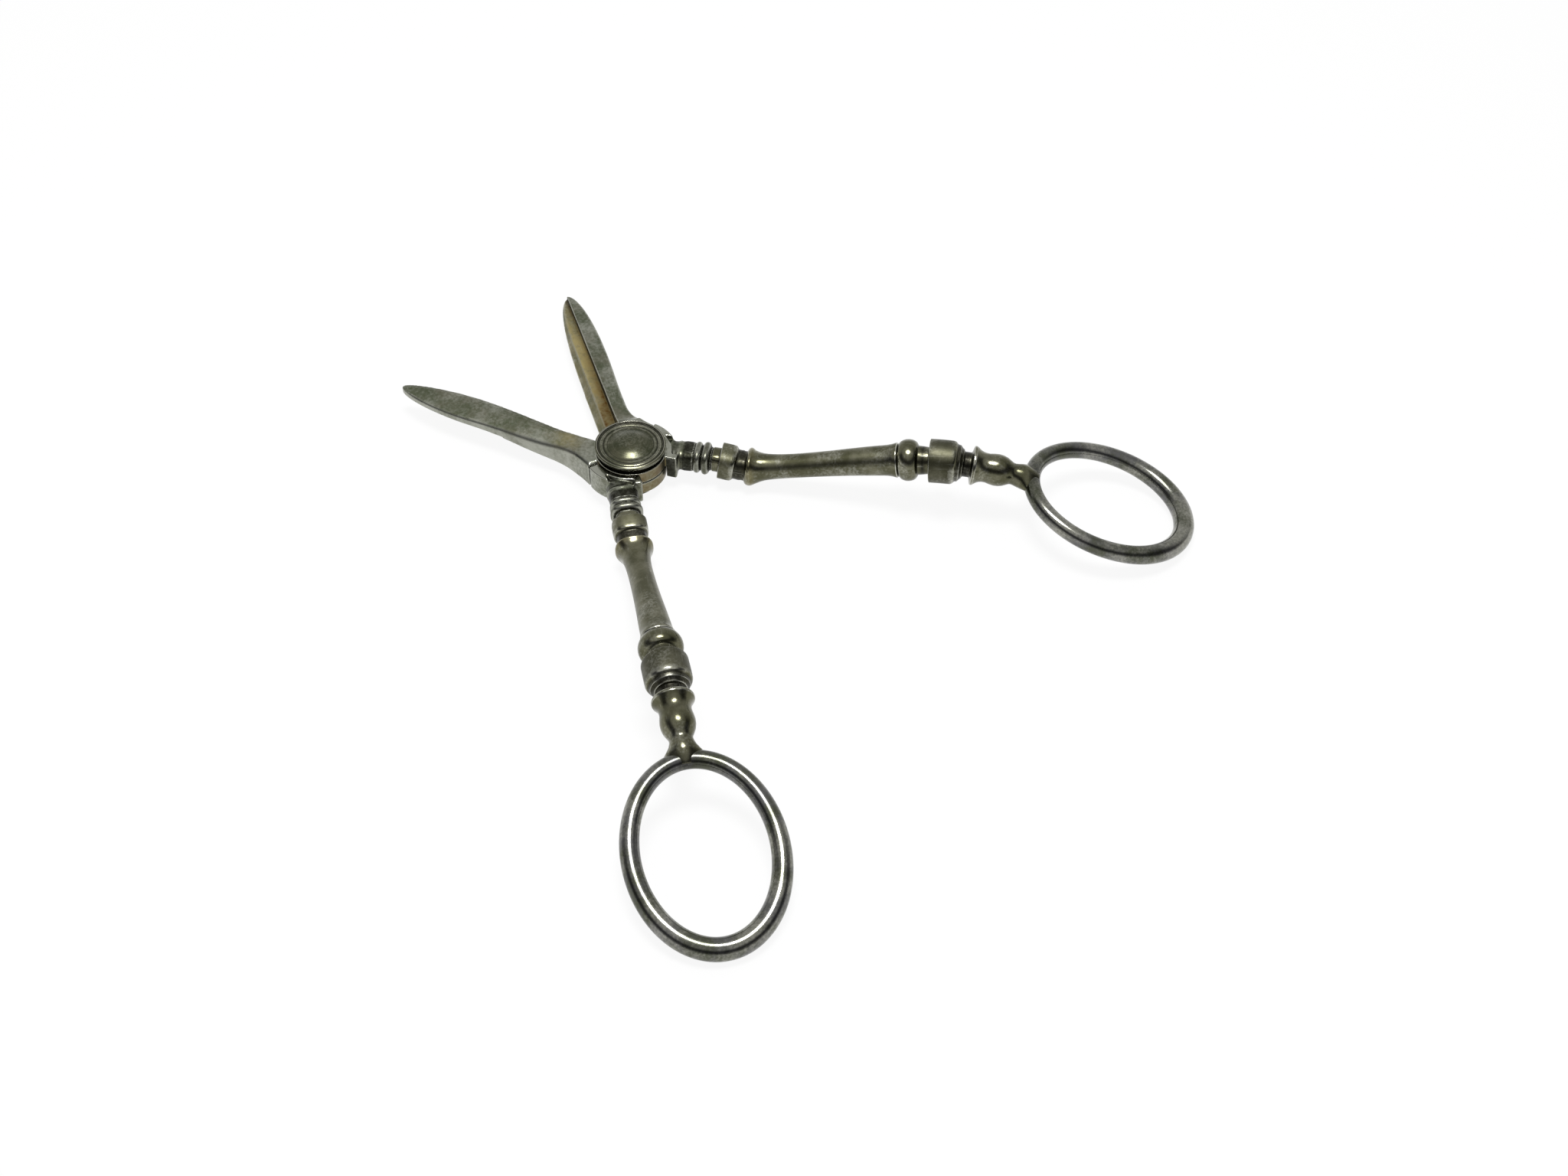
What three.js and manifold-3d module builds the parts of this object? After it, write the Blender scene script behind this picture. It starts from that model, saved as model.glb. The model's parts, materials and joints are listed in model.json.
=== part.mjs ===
// Grape shears lying open on a table: millimetres, +Z up.
// The pivot axis stands on the origin, the blades point to +Y and the finger bows to -Y.
import * as THREE from 'three';
import { mergeVertices } from 'three/addons/utils/BufferGeometryUtils.js';
import Module from 'manifold-3d';

const wasm = await Module();
wasm.setup();

// Stance of the two levers, in degrees
const STEM_SPREAD = 69.4;
const BLADE_SPREAD = 48.8;
const BLADE_LEAN = 4.2;

// Clearances
const RUN_GAP = 0.3;
const SEAT_GAP = 0.1;
const SHANK_GAP = 0.1;

// Pivot drum: two lap discs, each circled by the other lever's shoulder
const LAP_R = 7.3;
const SHOULDER_WALL = 2.1;
const DRUM_HEIGHT = 5.6;
const SHOULDER_INNER = 5.5;
const SHOULDER_OUTER = 70.5;

// Pivot screw, washers and nut
const SHANK_R = 2.2;
const HEAD_R = 7.4;
const HEAD_RIM = 1.1;
const HEAD_RING = 0.45;
const HEAD_DOME = 0.8;
const HEAD_WASHER_R = 6.2;
const HEAD_WASHER_T = 0.6;
const REAR_WASHER_R = 6.4;
const REAR_WASHER_T = 0.5;
const NUT_R = 5.4;
const NUT_HEIGHT = 2.0;
const NUT_FLOOR = 0.7;
const NUT_CHAMFER = 0.5;

// Blades: distances out from the pivot, then half widths
const BLADE_REACH = 56;
const TIP_SETBACK = 1.8;
const WAIST_T = 16;
const FLARE_T = 11;
const BELLY_T = 36;
const EDGE_T = 39;
const LAND_WAIST = 3.2;
const LAND_BELLY = 3.65;
const LEDGE_WAIST = 3.8;
const LEDGE_BELLY = 3.95;
const LEDGE_BEVEL = 1.5;
const SPINE_WAIST = 4.75;
const SPINE_BELLY = 4.15;
const EDGE_OVERLAP = 2.3;
const LOWER_BLUNT = 0.7;
const UPPER_BLUNT = 0.5;

// Blades: heights above the drum's middle plane, at the waist and at the tip
const LAND_HIGH = 1.0;
const LAND_TIP = 0.35;
const LEDGE_LOW = -0.9;
const LEDGE_TIP = -0.5;
const TOP_TIP = 1.2;
const FLOOR_TIP = -1.3;
const ROOT_DROP = 0.5;

// Square beaded neck of each blade casting and the socket in its end
const STEM_OFFSET = 3.3;
const NECK_R = 2.85;
const NECK_FLARE = 0.15;
const NECK_LENGTH = 3.1;
const BEAD_SMALL_R = 3.1;
const BEAD_SMALL_W = 1.4;
const BEAD_LARGE_R = 3.25;
const BEAD_LARGE_W = 1.8;
const NECK_LIP = 0.5;
const GROOVE_R = 2.6;
const TENON_R = 1.5;
const TENON_LENGTH = 4.5;

// How square the sections are: 2 is a circle, higher is squarer; and height over width
const NECK_SQUARE = 7;
const NECK_TALL = 0.88;
const BAND_SQUARE = 2.6;
const BAND_TALL = 0.96;

// Turned stem: lengths in order from the neck, with the radius of each member
const GROOVE_W = 1.5;
const BAND_R = 3.55;
const BAND_W = 3.4;
const COVE_R = 3.05;
const COVE_W = 2.0;
const BULB_R = 3.7;
const BULB_W = 4.3;
const SHAFT_ROOT_R = 2.9;
const SHAFT_SLIM_R = 2.5;
const SHAFT_SLIM_AT = 5.5;
const SHAFT_END_R = 3.1;
const SHAFT_LENGTH = 27.4;
const COLLAR_R = 4.3;
const COLLAR_W = 3.7;
const COLLAR_GROOVE_R = 2.75;
const COLLAR_GROOVE_W = 2.4;
const WIDE_BAND_R = 4.45;
const WIDE_BAND_W = 4.9;
const STEP_R = 3.7;
const STEP_W = 1.5;
const STEP_GROOVE_R = 2.55;
const STEP_GROOVE_W = 2.2;
const DISC_R = 3.78;
const DISC_W = 1.4;
const DISC_EDGE = 0.35;
const VASE_COVE_R = 2.9;
const VASE_COVE_W = 2.0;
const VASE_R = 3.2;
const VASE_W = 4.6;
const VASE_NECK_R = 2.15;
const VASE_NECK_W = 2.8;
const SADDLE_R = 2.6;
const SADDLE_W = 1.3;
const SADDLE_FLARE = 1.2;

// Arch of the stem: heights over the drum's middle plane and slopes there
const BULB_DIP = -0.8;
const BULB_SLOPE = 0.16;
const CREST_RISE = 7.0;
const SEAT_RISE = 5.0;
const SEAT_SLOPE = -0.24;

// Finger bow: an oval of round wire that thickens to its far end, bent and brazed by hand.
// It sits some degrees askew, and the lower one is longer and narrower than the upper one.
const BOW_HALF_LENGTH = 17.05;
const BOW_HALF_WIDTH = 13.45;
const BOW_WIRE_R = 1.7;
const BOW_FAR_R = 2.1;
const BOW_SKEW = 1.85;
const BOW_UNEVEN_LENGTH = 0.35;
const BOW_UNEVEN_WIDTH = 0.5;

// Facets
const ROUND = 36;
const STEM_ROUND = 24;
const BOW_ROUND = 40;
const WIRE_ROUND = 8;
const CURVE_STEPS = 4;

// How far cutting shapes run past the metal
const WIDE = 40;
const PAST = 1;

// Derived levels
const lapLow = NUT_HEIGHT + REAR_WASHER_T + 2 * SEAT_GAP;
const middle = lapLow + DRUM_HEIGHT / 2;
const lapHigh = lapLow + DRUM_HEIGHT;
const lowerLapTop = middle - RUN_GAP / 2;
const upperLapFloor = middle + RUN_GAP / 2;
const headFloor = lapHigh + HEAD_WASHER_T + 2 * SEAT_GAP;

// Derived radii and directions
const clearR = LAP_R + RUN_GAP;
const shoulderR = clearR + SHOULDER_WALL;
const bladeFar = BLADE_REACH + PAST;
const neckStart = Math.max(clearR, HEAD_R + RUN_GAP);
const toRad = THREE.MathUtils.degToRad;
const stemUpper = toRad(-90 + STEM_SPREAD / 2);
const stemLower = toRad(-90 - STEM_SPREAD / 2);
const bladeUpper = toRad(90 - BLADE_LEAN + BLADE_SPREAD / 2);
const bladeLower = toRad(90 - BLADE_LEAN - BLADE_SPREAD / 2);
const stopGap = RUN_GAP / LAP_R;
const rootUpper = stemLower + 2 * Math.PI - toRad(SHOULDER_OUTER) - stopGap - bladeUpper;
const rootLower = stemUpper + toRad(SHOULDER_OUTER) + stopGap - bladeLower;

// Stations along the stem
const neckEnd = shoulderR + NECK_LENGTH + BEAD_SMALL_W + BEAD_LARGE_W + NECK_LIP;
const grooveEnd = neckEnd + SEAT_GAP + GROOVE_W;
const bandEnd = grooveEnd + BAND_W;
const bulbStart = bandEnd + COVE_W;
const bulbEnd = bulbStart + BULB_W;
const shaftEnd = bulbEnd + SHAFT_LENGTH;
const collarEnd = shaftEnd + COLLAR_W;
const wideBandStart = collarEnd + COLLAR_GROOVE_W;
const wideBandEnd = wideBandStart + WIDE_BAND_W;
const stepEnd = wideBandEnd + STEP_W;
const discStart = stepEnd + STEP_GROOVE_W;
const discEnd = discStart + DISC_W;
const vaseStart = discEnd + VASE_COVE_W;
const vaseEnd = vaseStart + VASE_W;
const stemEnd = vaseEnd + VASE_NECK_W + SADDLE_W;

function solidOf(geometry) {
  const bare = geometry.clone();
  bare.deleteAttribute('normal');
  bare.deleteAttribute('uv');
  const merged = mergeVertices(bare, 1e-4);
  const index = merged.index.array;
  const corners = [];
  for (let i = 0; i < index.length; i += 3) {
    const [a, b, c] = [index[i], index[i + 1], index[i + 2]];
    if (a !== b && b !== c && c !== a) {
      corners.push(a, b, c);
    }
  }
  const vertProperties = new Float32Array(merged.attributes.position.array);
  const triVerts = new Uint32Array(corners);
  return new wasm.Manifold(new wasm.Mesh({ numProp: 3, vertProperties, triVerts }));
}

function geometryOf(solid) {
  const mesh = solid.getMesh();
  const geometry = new THREE.BufferGeometry();
  const positions = new Float32Array(mesh.vertProperties);
  geometry.setAttribute('position', new THREE.BufferAttribute(positions, 3));
  geometry.setIndex(new THREE.BufferAttribute(new Uint32Array(mesh.triVerts), 1));
  return geometry;
}

// Moves every vertex of a geometry to where the rule puts it.
function reshape(geometry, rule) {
  const place = geometry.attributes.position;
  const from = new THREE.Vector3();
  for (let i = 0; i < place.count; i += 1) {
    const to = rule(from.fromBufferAttribute(place, i));
    place.setXYZ(i, to.x, to.y, to.z);
  }
  return geometry;
}

function prism(shape, low, high) {
  const options = { depth: high - low, bevelEnabled: false, curveSegments: CURVE_STEPS };
  return new THREE.ExtrudeGeometry(shape, options).translate(0, 0, low);
}

// A profile drawn in distance and height, drawn out sideways between two offsets.
function sideCut(shape, from, to) {
  return prism(shape, 0, to - from).rotateX(Math.PI / 2).translate(0, to, 0);
}

function upright(radius, low, high) {
  const cylinder = new THREE.CylinderGeometry(radius, radius, high - low, ROUND);
  return cylinder.rotateX(Math.PI / 2).translate(0, 0, (low + high) / 2);
}

function turned(path, rounds) {
  return new THREE.LatheGeometry(path.getPoints(CURVE_STEPS), rounds);
}

// Makes a turned section squarer towards its corners.
function squared(p, power) {
  const reach = Math.hypot(p.x, p.z);
  if (reach === 0) {
    return 1;
  }
  const [c, s] = [Math.abs(p.x) / reach, Math.abs(p.z) / reach];
  return (c ** power + s ** power) ** (-1 / power);
}

// Turned bulge from one radius to another; the pull puts the middle of the curve on the peak.
function swell(path, fromR, fromS, peakR, toR, toS) {
  const pull = (8 * peakR - fromR - toR) / 6;
  const third = (toS - fromS) / 3;
  path.bezierCurveTo(pull, fromS + third, pull, toS - third, toR, toS);
}

function ring(innerR, outerR, low, high) {
  const section = new THREE.Path();
  section.moveTo(innerR, low);
  section.lineTo(outerR, low);
  section.lineTo(outerR, high);
  section.lineTo(innerR, high);
  section.lineTo(innerR, low);
  return turned(section, ROUND).rotateX(Math.PI / 2);
}

// Height of a blade face that runs straight from the waist to the tip.
function faceHeight(t, atWaist, atTip) {
  return middle + atWaist + (atTip - atWaist) * (t - WAIST_T) / (BLADE_REACH - WAIST_T);
}

const ledgeHeight = (t) => faceHeight(t, LEDGE_LOW, LEDGE_TIP);
const landHeight = (t) => faceHeight(t, LAND_HIGH, LAND_TIP);

// Rounded nose of a blade edge, from the belly to the tip or back.
function noseOut(shape, bellyT, bellyN, tipT, tipN, blunt) {
  const lean = tipN + (bellyN - tipN) * blunt;
  shape.bezierCurveTo((bellyT + tipT) / 2, bellyN, tipT, lean, tipT, tipN);
}

function noseBack(shape, tipT, tipN, bellyT, bellyN, blunt) {
  const lean = tipN + (bellyN - tipN) * blunt;
  shape.bezierCurveTo(tipT, lean, (bellyT + tipT) / 2, bellyN, bellyT, bellyN);
}

function ease(shape, t0, n0, t1, n1) {
  const half = (t0 + t1) / 2;
  shape.bezierCurveTo(half, n0, half, n1, t1, n1);
}

// Lap disc, shoulder and beaded neck that both castings share.
// The shoulder's half that faces the other lap disc is bored out to clear it.
function hub(stemAngle, side, lapFloor, lapTop, clearFloor, clearTop) {
  const sector = new THREE.Shape();
  const inner = stemAngle - side * toRad(SHOULDER_INNER);
  const outer = stemAngle + side * toRad(SHOULDER_OUTER);
  sector.moveTo(0, 0);
  sector.absarc(0, 0, shoulderR, Math.min(inner, outer), Math.max(inner, outer), false);
  sector.lineTo(0, 0);
  const options = { depth: DRUM_HEIGHT, bevelEnabled: false, curveSegments: ROUND / 2 };
  const wall = new THREE.ExtrudeGeometry(sector, options).translate(0, 0, lapLow);

  const profile = new THREE.Path();
  const beadStart = shoulderR + NECK_LENGTH;
  const beadMiddle = beadStart + BEAD_SMALL_W;
  const lipStart = beadMiddle + BEAD_LARGE_W;
  const smallRise = BEAD_SMALL_R - GROOVE_R;
  const largeRise = BEAD_LARGE_R - GROOVE_R;
  const quarter = Math.PI / 2;
  profile.moveTo(0, 0);
  profile.lineTo(NECK_R + NECK_FLARE, 0);
  profile.lineTo(NECK_R + NECK_FLARE, shoulderR);
  profile.quadraticCurveTo(NECK_R, shoulderR, NECK_R, beadStart - SEAT_GAP);
  profile.lineTo(GROOVE_R, beadStart);
  profile.absellipse(GROOVE_R, beadStart + BEAD_SMALL_W / 2, smallRise, BEAD_SMALL_W / 2, -quarter, quarter);
  profile.absellipse(GROOVE_R, beadMiddle + BEAD_LARGE_W / 2, largeRise, BEAD_LARGE_W / 2, -quarter, quarter);
  profile.lineTo(GROOVE_R, lipStart + NECK_LIP);
  profile.lineTo(0, lipStart + NECK_LIP);
  const neck = reshape(turned(profile, STEM_ROUND), (p) => {
    const corner = squared(p, NECK_SQUARE);
    return new THREE.Vector3(p.x * corner, p.y, p.z * corner * NECK_TALL);
  });
  neck.rotateZ(-quarter).translate(0, side * STEM_OFFSET, middle).rotateZ(stemAngle);

  const socketDepth = TENON_LENGTH + RUN_GAP;
  const socketR = TENON_R + SHANK_GAP;
  const socket = new THREE.CylinderGeometry(socketR, socketR, socketDepth * 2, ROUND).rotateZ(-quarter);
  socket.translate(neckEnd, side * STEM_OFFSET, middle).rotateZ(stemAngle);

  return solidOf(wall)
    .add(solidOf(neck).subtract(solidOf(upright(neckStart, -WIDE, WIDE))))
    .subtract(solidOf(upright(clearR, clearFloor, clearTop)))
    .add(solidOf(upright(LAP_R, lapFloor, lapTop)))
    .subtract(solidOf(socket));
}

// Lower blade: a high land outside the straight step and a low bevelled ledge inside it.
function lowerBlade() {
  const land = new THREE.Shape();
  land.moveTo(0, 0);
  const stop = new THREE.Vector2(Math.cos(rootLower), Math.sin(rootLower)).multiplyScalar(shoulderR);
  land.lineTo(stop.x, stop.y);
  land.quadraticCurveTo(FLARE_T, -LAND_WAIST, WAIST_T, -LAND_WAIST);
  ease(land, WAIST_T, -LAND_WAIST, BELLY_T, -LAND_BELLY);
  noseOut(land, BELLY_T, -LAND_BELLY, BLADE_REACH, 0, LOWER_BLUNT);
  land.lineTo(0, 0);

  const above = new THREE.Shape();
  above.moveTo(0, WIDE);
  above.lineTo(0, lapHigh - ROOT_DROP);
  above.lineTo(shoulderR, lapHigh - ROOT_DROP);
  above.quadraticCurveTo(FLARE_T, landHeight(WAIST_T), WAIST_T, landHeight(WAIST_T));
  above.lineTo(bladeFar, landHeight(bladeFar));
  above.lineTo(bladeFar, WIDE);

  const ledge = new THREE.Shape();
  ledge.moveTo(0, -RUN_GAP);
  ledge.lineTo(BLADE_REACH - RUN_GAP, -RUN_GAP);
  ledge.lineTo(BLADE_REACH, 0);
  noseBack(ledge, BLADE_REACH, 0, BELLY_T, LEDGE_BELLY, LOWER_BLUNT);
  ease(ledge, BELLY_T, LEDGE_BELLY, WAIST_T, LEDGE_WAIST);
  ledge.lineTo(0, LEDGE_WAIST);
  const topShare = 1 - LEDGE_BEVEL / LEDGE_BELLY;
  const ledgeBlock = reshape(prism(ledge, lapLow, lapHigh), (p) => {
    const isTop = p.z > middle;
    const n = isTop ? (p.y + RUN_GAP) * topShare - RUN_GAP : p.y;
    return new THREE.Vector3(p.x, n, isTop ? ledgeHeight(p.x) : lapLow);
  });

  const below = new THREE.Shape();
  below.moveTo(shoulderR, lapLow - PAST);
  below.lineTo(shoulderR, lapLow);
  below.lineTo(bladeFar, middle + FLOOR_TIP);
  below.lineTo(bladeFar, lapLow - PAST);

  return solidOf(prism(land, lapLow, lapHigh))
    .subtract(solidOf(sideCut(above, -WIDE, WIDE)))
    .add(solidOf(ledgeBlock))
    .subtract(solidOf(sideCut(below, -WIDE, WIDE)));
}

// Upper blade: nests on the lower one when shut, with a thin edge over the land
// and a deep spine that drops behind the ledge.
function upperBlade() {
  const tipT = BLADE_REACH - TIP_SETBACK;
  const edgeStart = WAIST_T + RUN_GAP;
  const blade = new THREE.Shape();
  blade.moveTo(0, RUN_GAP);
  blade.lineTo(edgeStart, RUN_GAP);
  ease(blade, edgeStart, RUN_GAP, EDGE_T, -EDGE_OVERLAP);
  noseOut(blade, EDGE_T, -EDGE_OVERLAP, tipT, RUN_GAP, UPPER_BLUNT);
  noseBack(blade, tipT, RUN_GAP, BELLY_T, SPINE_BELLY, UPPER_BLUNT);
  ease(blade, BELLY_T, SPINE_BELLY, WAIST_T, SPINE_WAIST);
  const stop = new THREE.Vector2(Math.cos(rootUpper), Math.sin(rootUpper)).multiplyScalar(shoulderR);
  blade.quadraticCurveTo(FLARE_T, SPINE_WAIST, stop.x, stop.y);

  const above = new THREE.Shape();
  above.moveTo(shoulderR, lapHigh + PAST);
  above.lineTo(shoulderR, lapHigh);
  above.lineTo(bladeFar, middle + TOP_TIP);
  above.lineTo(bladeFar, lapHigh + PAST);

  const underLedge = new THREE.Shape();
  underLedge.moveTo(0, lapLow - PAST);
  underLedge.lineTo(bladeFar, lapLow - PAST);
  underLedge.lineTo(bladeFar, ledgeHeight(bladeFar) + RUN_GAP);
  underLedge.lineTo(0, ledgeHeight(0) + RUN_GAP);

  const underLand = new THREE.Shape();
  underLand.moveTo(0, lapLow - PAST);
  underLand.lineTo(bladeFar, lapLow - PAST);
  underLand.lineTo(bladeFar, landHeight(bladeFar) + RUN_GAP);
  underLand.lineTo(WAIST_T, landHeight(WAIST_T) + RUN_GAP);
  underLand.lineTo(0, landHeight(WAIST_T) + RUN_GAP);

  const underSpine = new THREE.Shape();
  underSpine.moveTo(shoulderR, lapLow - PAST);
  underSpine.lineTo(shoulderR, lapLow);
  underSpine.lineTo(BELLY_T, ledgeHeight(BELLY_T) + RUN_GAP);
  underSpine.lineTo(bladeFar, ledgeHeight(bladeFar) + RUN_GAP);
  underSpine.lineTo(bladeFar, lapLow - PAST);

  const ledgeSide = Math.max(LEDGE_WAIST, LEDGE_BELLY) + RUN_GAP;
  return solidOf(prism(blade, lapLow, lapHigh))
    .subtract(solidOf(sideCut(above, -WIDE, WIDE)))
    .subtract(solidOf(sideCut(underLedge, -WIDE, ledgeSide)))
    .subtract(solidOf(sideCut(underLand, -WIDE, RUN_GAP)))
    .subtract(solidOf(sideCut(underSpine, -WIDE, WIDE)));
}

function turnedSolid(solid, angle) {
  return solidOf(geometryOf(solid).rotateZ(angle));
}

const bore = solidOf(upright(SHANK_R + SHANK_GAP, -WIDE, WIDE));

const bladeLowerSolid = hub(stemLower, -1, lapLow, lowerLapTop, lowerLapTop, WIDE)
  .add(turnedSolid(lowerBlade(), bladeLower).subtract(solidOf(upright(clearR, lowerLapTop, WIDE))))
  .subtract(bore);

const bladeUpperSolid = hub(stemUpper, 1, upperLapFloor, lapHigh, -WIDE, upperLapFloor)
  .add(turnedSolid(upperBlade(), bladeUpper).subtract(solidOf(upright(clearR, -WIDE, upperLapFloor))))
  .subtract(bore);

// Arched line of the stem: straight out of the neck, a dip at the bulb,
// a crest at the wide band and a fall to the bow.
const seatX = stemEnd + RUN_GAP;
const archNodes = [
  { x: neckEnd + SEAT_GAP, z: 0, slope: 0 },
  { x: (bulbStart + bulbEnd) / 2, z: BULB_DIP, slope: BULB_SLOPE },
  { x: wideBandEnd, z: CREST_RISE, slope: 0 },
  { x: seatX, z: SEAT_RISE, slope: SEAT_SLOPE },
];
const arches = archNodes.slice(1).map((end, i) => {
  const start = archNodes[i];
  const third = (end.x - start.x) / 3;
  return new THREE.CubicBezierCurve(
    new THREE.Vector2(start.x, start.z),
    new THREE.Vector2(start.x + third, start.z + third * start.slope),
    new THREE.Vector2(end.x - third, end.z - third * end.slope),
    new THREE.Vector2(end.x, end.z),
  );
});

function archAt(x) {
  const found = arches.find((arch) => x <= arch.v3.x) ?? arches[arches.length - 1];
  const share = THREE.MathUtils.clamp((x - found.v0.x) / (found.v3.x - found.v0.x), 0, 1);
  const slope = found.getTangent(share);
  return { z: middle + found.getPoint(share).y, lean: Math.atan2(slope.y, slope.x) };
}

// Oval bow. The wire's centre line starts on the stem's end and the far end lies on the table.
// A plain ring lends its angles: round the ring, and round the wire.
function bowGeometry(side, grow) {
  const seatZ = middle + SEAT_RISE;
  const halfLength = BOW_HALF_LENGTH - side * BOW_UNEVEN_LENGTH;
  const halfWidth = BOW_HALF_WIDTH + side * BOW_UNEVEN_WIDTH;
  const fall = Math.asin((seatZ - BOW_FAR_R) / (2 * halfLength));
  const along = new THREE.Vector3(-Math.cos(fall), 0, Math.sin(fall));
  const across = new THREE.Vector3(0, -1, 0);
  const up = new THREE.Vector3(Math.sin(fall), 0, Math.cos(fall));
  for (const way of [along, across, up]) {
    way.applyAxisAngle(new THREE.Vector3(0, 0, 1), toRad(BOW_SKEW));
  }
  const centre = new THREE.Vector3(seatX, side * STEM_OFFSET, seatZ);
  centre.addScaledVector(along, -halfLength);
  const core = 2;
  return reshape(new THREE.TorusGeometry(core, 1, WIRE_ROUND, BOW_ROUND), (p) => {
    const turn = Math.atan2(p.y, p.x);
    const out = Math.hypot(p.x, p.y) - core;
    const [c, s] = [Math.cos(turn), Math.sin(turn)];
    const share = ((1 - c) / 2) ** 2;
    const wire = BOW_WIRE_R + (BOW_FAR_R - BOW_WIRE_R) * share + grow;
    const normal = new THREE.Vector2(c / halfLength, s / halfWidth).normalize();
    return centre.clone()
      .addScaledVector(along, halfLength * c + wire * out * normal.x)
      .addScaledVector(across, halfWidth * s + wire * out * normal.y)
      .addScaledVector(up, wire * p.z);
  });
}

// Stem: tenon, groove, band, bulb, slim shaft, collar, wide band, disc, vase and saddle.
function stemSolid(side) {
  const profile = new THREE.Path();
  const half = Math.PI / 2;
  const tenonStart = neckEnd - TENON_LENGTH;
  profile.moveTo(0, tenonStart);
  profile.lineTo(TENON_R, tenonStart);
  profile.lineTo(TENON_R, neckEnd + SEAT_GAP);
  profile.lineTo(GROOVE_R, neckEnd + SEAT_GAP);
  profile.lineTo(GROOVE_R, grooveEnd);
  profile.lineTo(BAND_R, grooveEnd);
  profile.lineTo(BAND_R, bandEnd);
  profile.quadraticCurveTo(COVE_R, bandEnd, COVE_R, bulbStart);
  swell(profile, COVE_R, bulbStart, BULB_R, SHAFT_ROOT_R, bulbEnd);
  profile.quadraticCurveTo(SHAFT_SLIM_R, bulbEnd + SHAFT_SLIM_AT / 2, SHAFT_SLIM_R, bulbEnd + SHAFT_SLIM_AT);
  profile.bezierCurveTo(
    SHAFT_SLIM_R, bulbEnd + SHAFT_LENGTH / 2,
    SHAFT_END_R, shaftEnd - SHAFT_SLIM_AT,
    SHAFT_END_R, shaftEnd,
  );
  const collarRise = COLLAR_R - COLLAR_GROOVE_R;
  profile.absellipse(COLLAR_GROOVE_R, shaftEnd + COLLAR_W / 2, collarRise, COLLAR_W / 2, -half, half);
  profile.lineTo(COLLAR_GROOVE_R, wideBandStart);
  profile.lineTo(WIDE_BAND_R, wideBandStart);
  profile.lineTo(WIDE_BAND_R, wideBandEnd);
  profile.lineTo(STEP_R, wideBandEnd);
  profile.lineTo(STEP_R, stepEnd);
  profile.lineTo(STEP_GROOVE_R, stepEnd);
  profile.lineTo(STEP_GROOVE_R, discStart);
  profile.lineTo(DISC_R, discStart + DISC_EDGE);
  profile.lineTo(DISC_R, discEnd - DISC_EDGE);
  profile.lineTo(VASE_COVE_R, discEnd);
  profile.lineTo(VASE_COVE_R, vaseStart);
  swell(profile, VASE_COVE_R, vaseStart, VASE_R, VASE_NECK_R, vaseEnd);
  profile.lineTo(VASE_NECK_R, vaseEnd + VASE_NECK_W);
  profile.quadraticCurveTo(SADDLE_R, vaseEnd + VASE_NECK_W, SADDLE_R, stemEnd);
  profile.lineTo(0, stemEnd);
  const arched = reshape(turned(profile, STEM_ROUND), (p) => {
    const { z, lean } = archAt(p.y);
    const roundness = THREE.MathUtils.smoothstep(p.y, bandEnd, bulbEnd);
    const isTenon = p.y < bandEnd && Math.hypot(p.x, p.z) < GROOVE_R - SEAT_GAP;
    const corner = isTenon ? 1 : squared(p, THREE.MathUtils.lerp(BAND_SQUARE, 2, roundness));
    const tall = isTenon ? 1 : THREE.MathUtils.lerp(BAND_TALL, 1, roundness);
    const flare = SADDLE_FLARE * THREE.MathUtils.smoothstep(p.y, vaseEnd, stemEnd);
    const rise = p.x * corner * tall;
    const across = side * STEM_OFFSET + p.z * (corner + flare / SADDLE_R);
    return new THREE.Vector3(p.y - rise * Math.sin(lean), across, z + rise * Math.cos(lean));
  });
  return solidOf(arched).subtract(solidOf(bowGeometry(side, RUN_GAP)));
}

// Pivot screw: shank, flat underside, rim, one raised ring and a low dome.
function screwGeometry() {
  const profile = new THREE.Path();
  const half = Math.PI / 2;
  const rimTop = headFloor + HEAD_RIM;
  const ringR = HEAD_R - 2 * HEAD_RING;
  const domeR = ringR - 2 * HEAD_RING;
  profile.moveTo(0, NUT_FLOOR + RUN_GAP);
  profile.lineTo(SHANK_R, NUT_FLOOR + RUN_GAP);
  profile.lineTo(SHANK_R, headFloor);
  profile.lineTo(HEAD_R - HEAD_RING, headFloor);
  profile.lineTo(HEAD_R, headFloor + HEAD_RING);
  profile.lineTo(HEAD_R, rimTop - HEAD_RING);
  profile.absellipse(HEAD_R - HEAD_RING, rimTop - HEAD_RING, HEAD_RING, HEAD_RING, 0, half);
  profile.lineTo(ringR, rimTop - HEAD_RING / 2);
  profile.absellipse(ringR - HEAD_RING, rimTop - HEAD_RING / 2, HEAD_RING, HEAD_RING, 0, half * 2);
  profile.quadraticCurveTo(domeR / 2, rimTop + HEAD_DOME, 0, rimTop + HEAD_DOME);
  return turned(profile, ROUND).rotateX(half);
}

// Round nut with a blind hole, chamfered to the flat face that rests on the table.
function nutGeometry() {
  const profile = new THREE.Path();
  const holeR = SHANK_R + SHANK_GAP;
  profile.moveTo(0, 0);
  profile.lineTo(NUT_R - NUT_CHAMFER, 0);
  profile.lineTo(NUT_R, NUT_CHAMFER);
  profile.lineTo(NUT_R, NUT_HEIGHT);
  profile.lineTo(holeR, NUT_HEIGHT);
  profile.lineTo(holeR, NUT_FLOOR);
  profile.lineTo(0, NUT_FLOOR);
  return turned(profile, ROUND).rotateX(Math.PI / 2);
}

const shears = new THREE.Group();
shears.name = 'grape_shears';

function addPiece(name, geometry, color, roughness) {
  const material = new THREE.MeshStandardMaterial({ color, roughness, metalness: 0.95 });
  const piece = new THREE.Mesh(geometry, material);
  piece.name = name;
  shears.add(piece);
}

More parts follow.
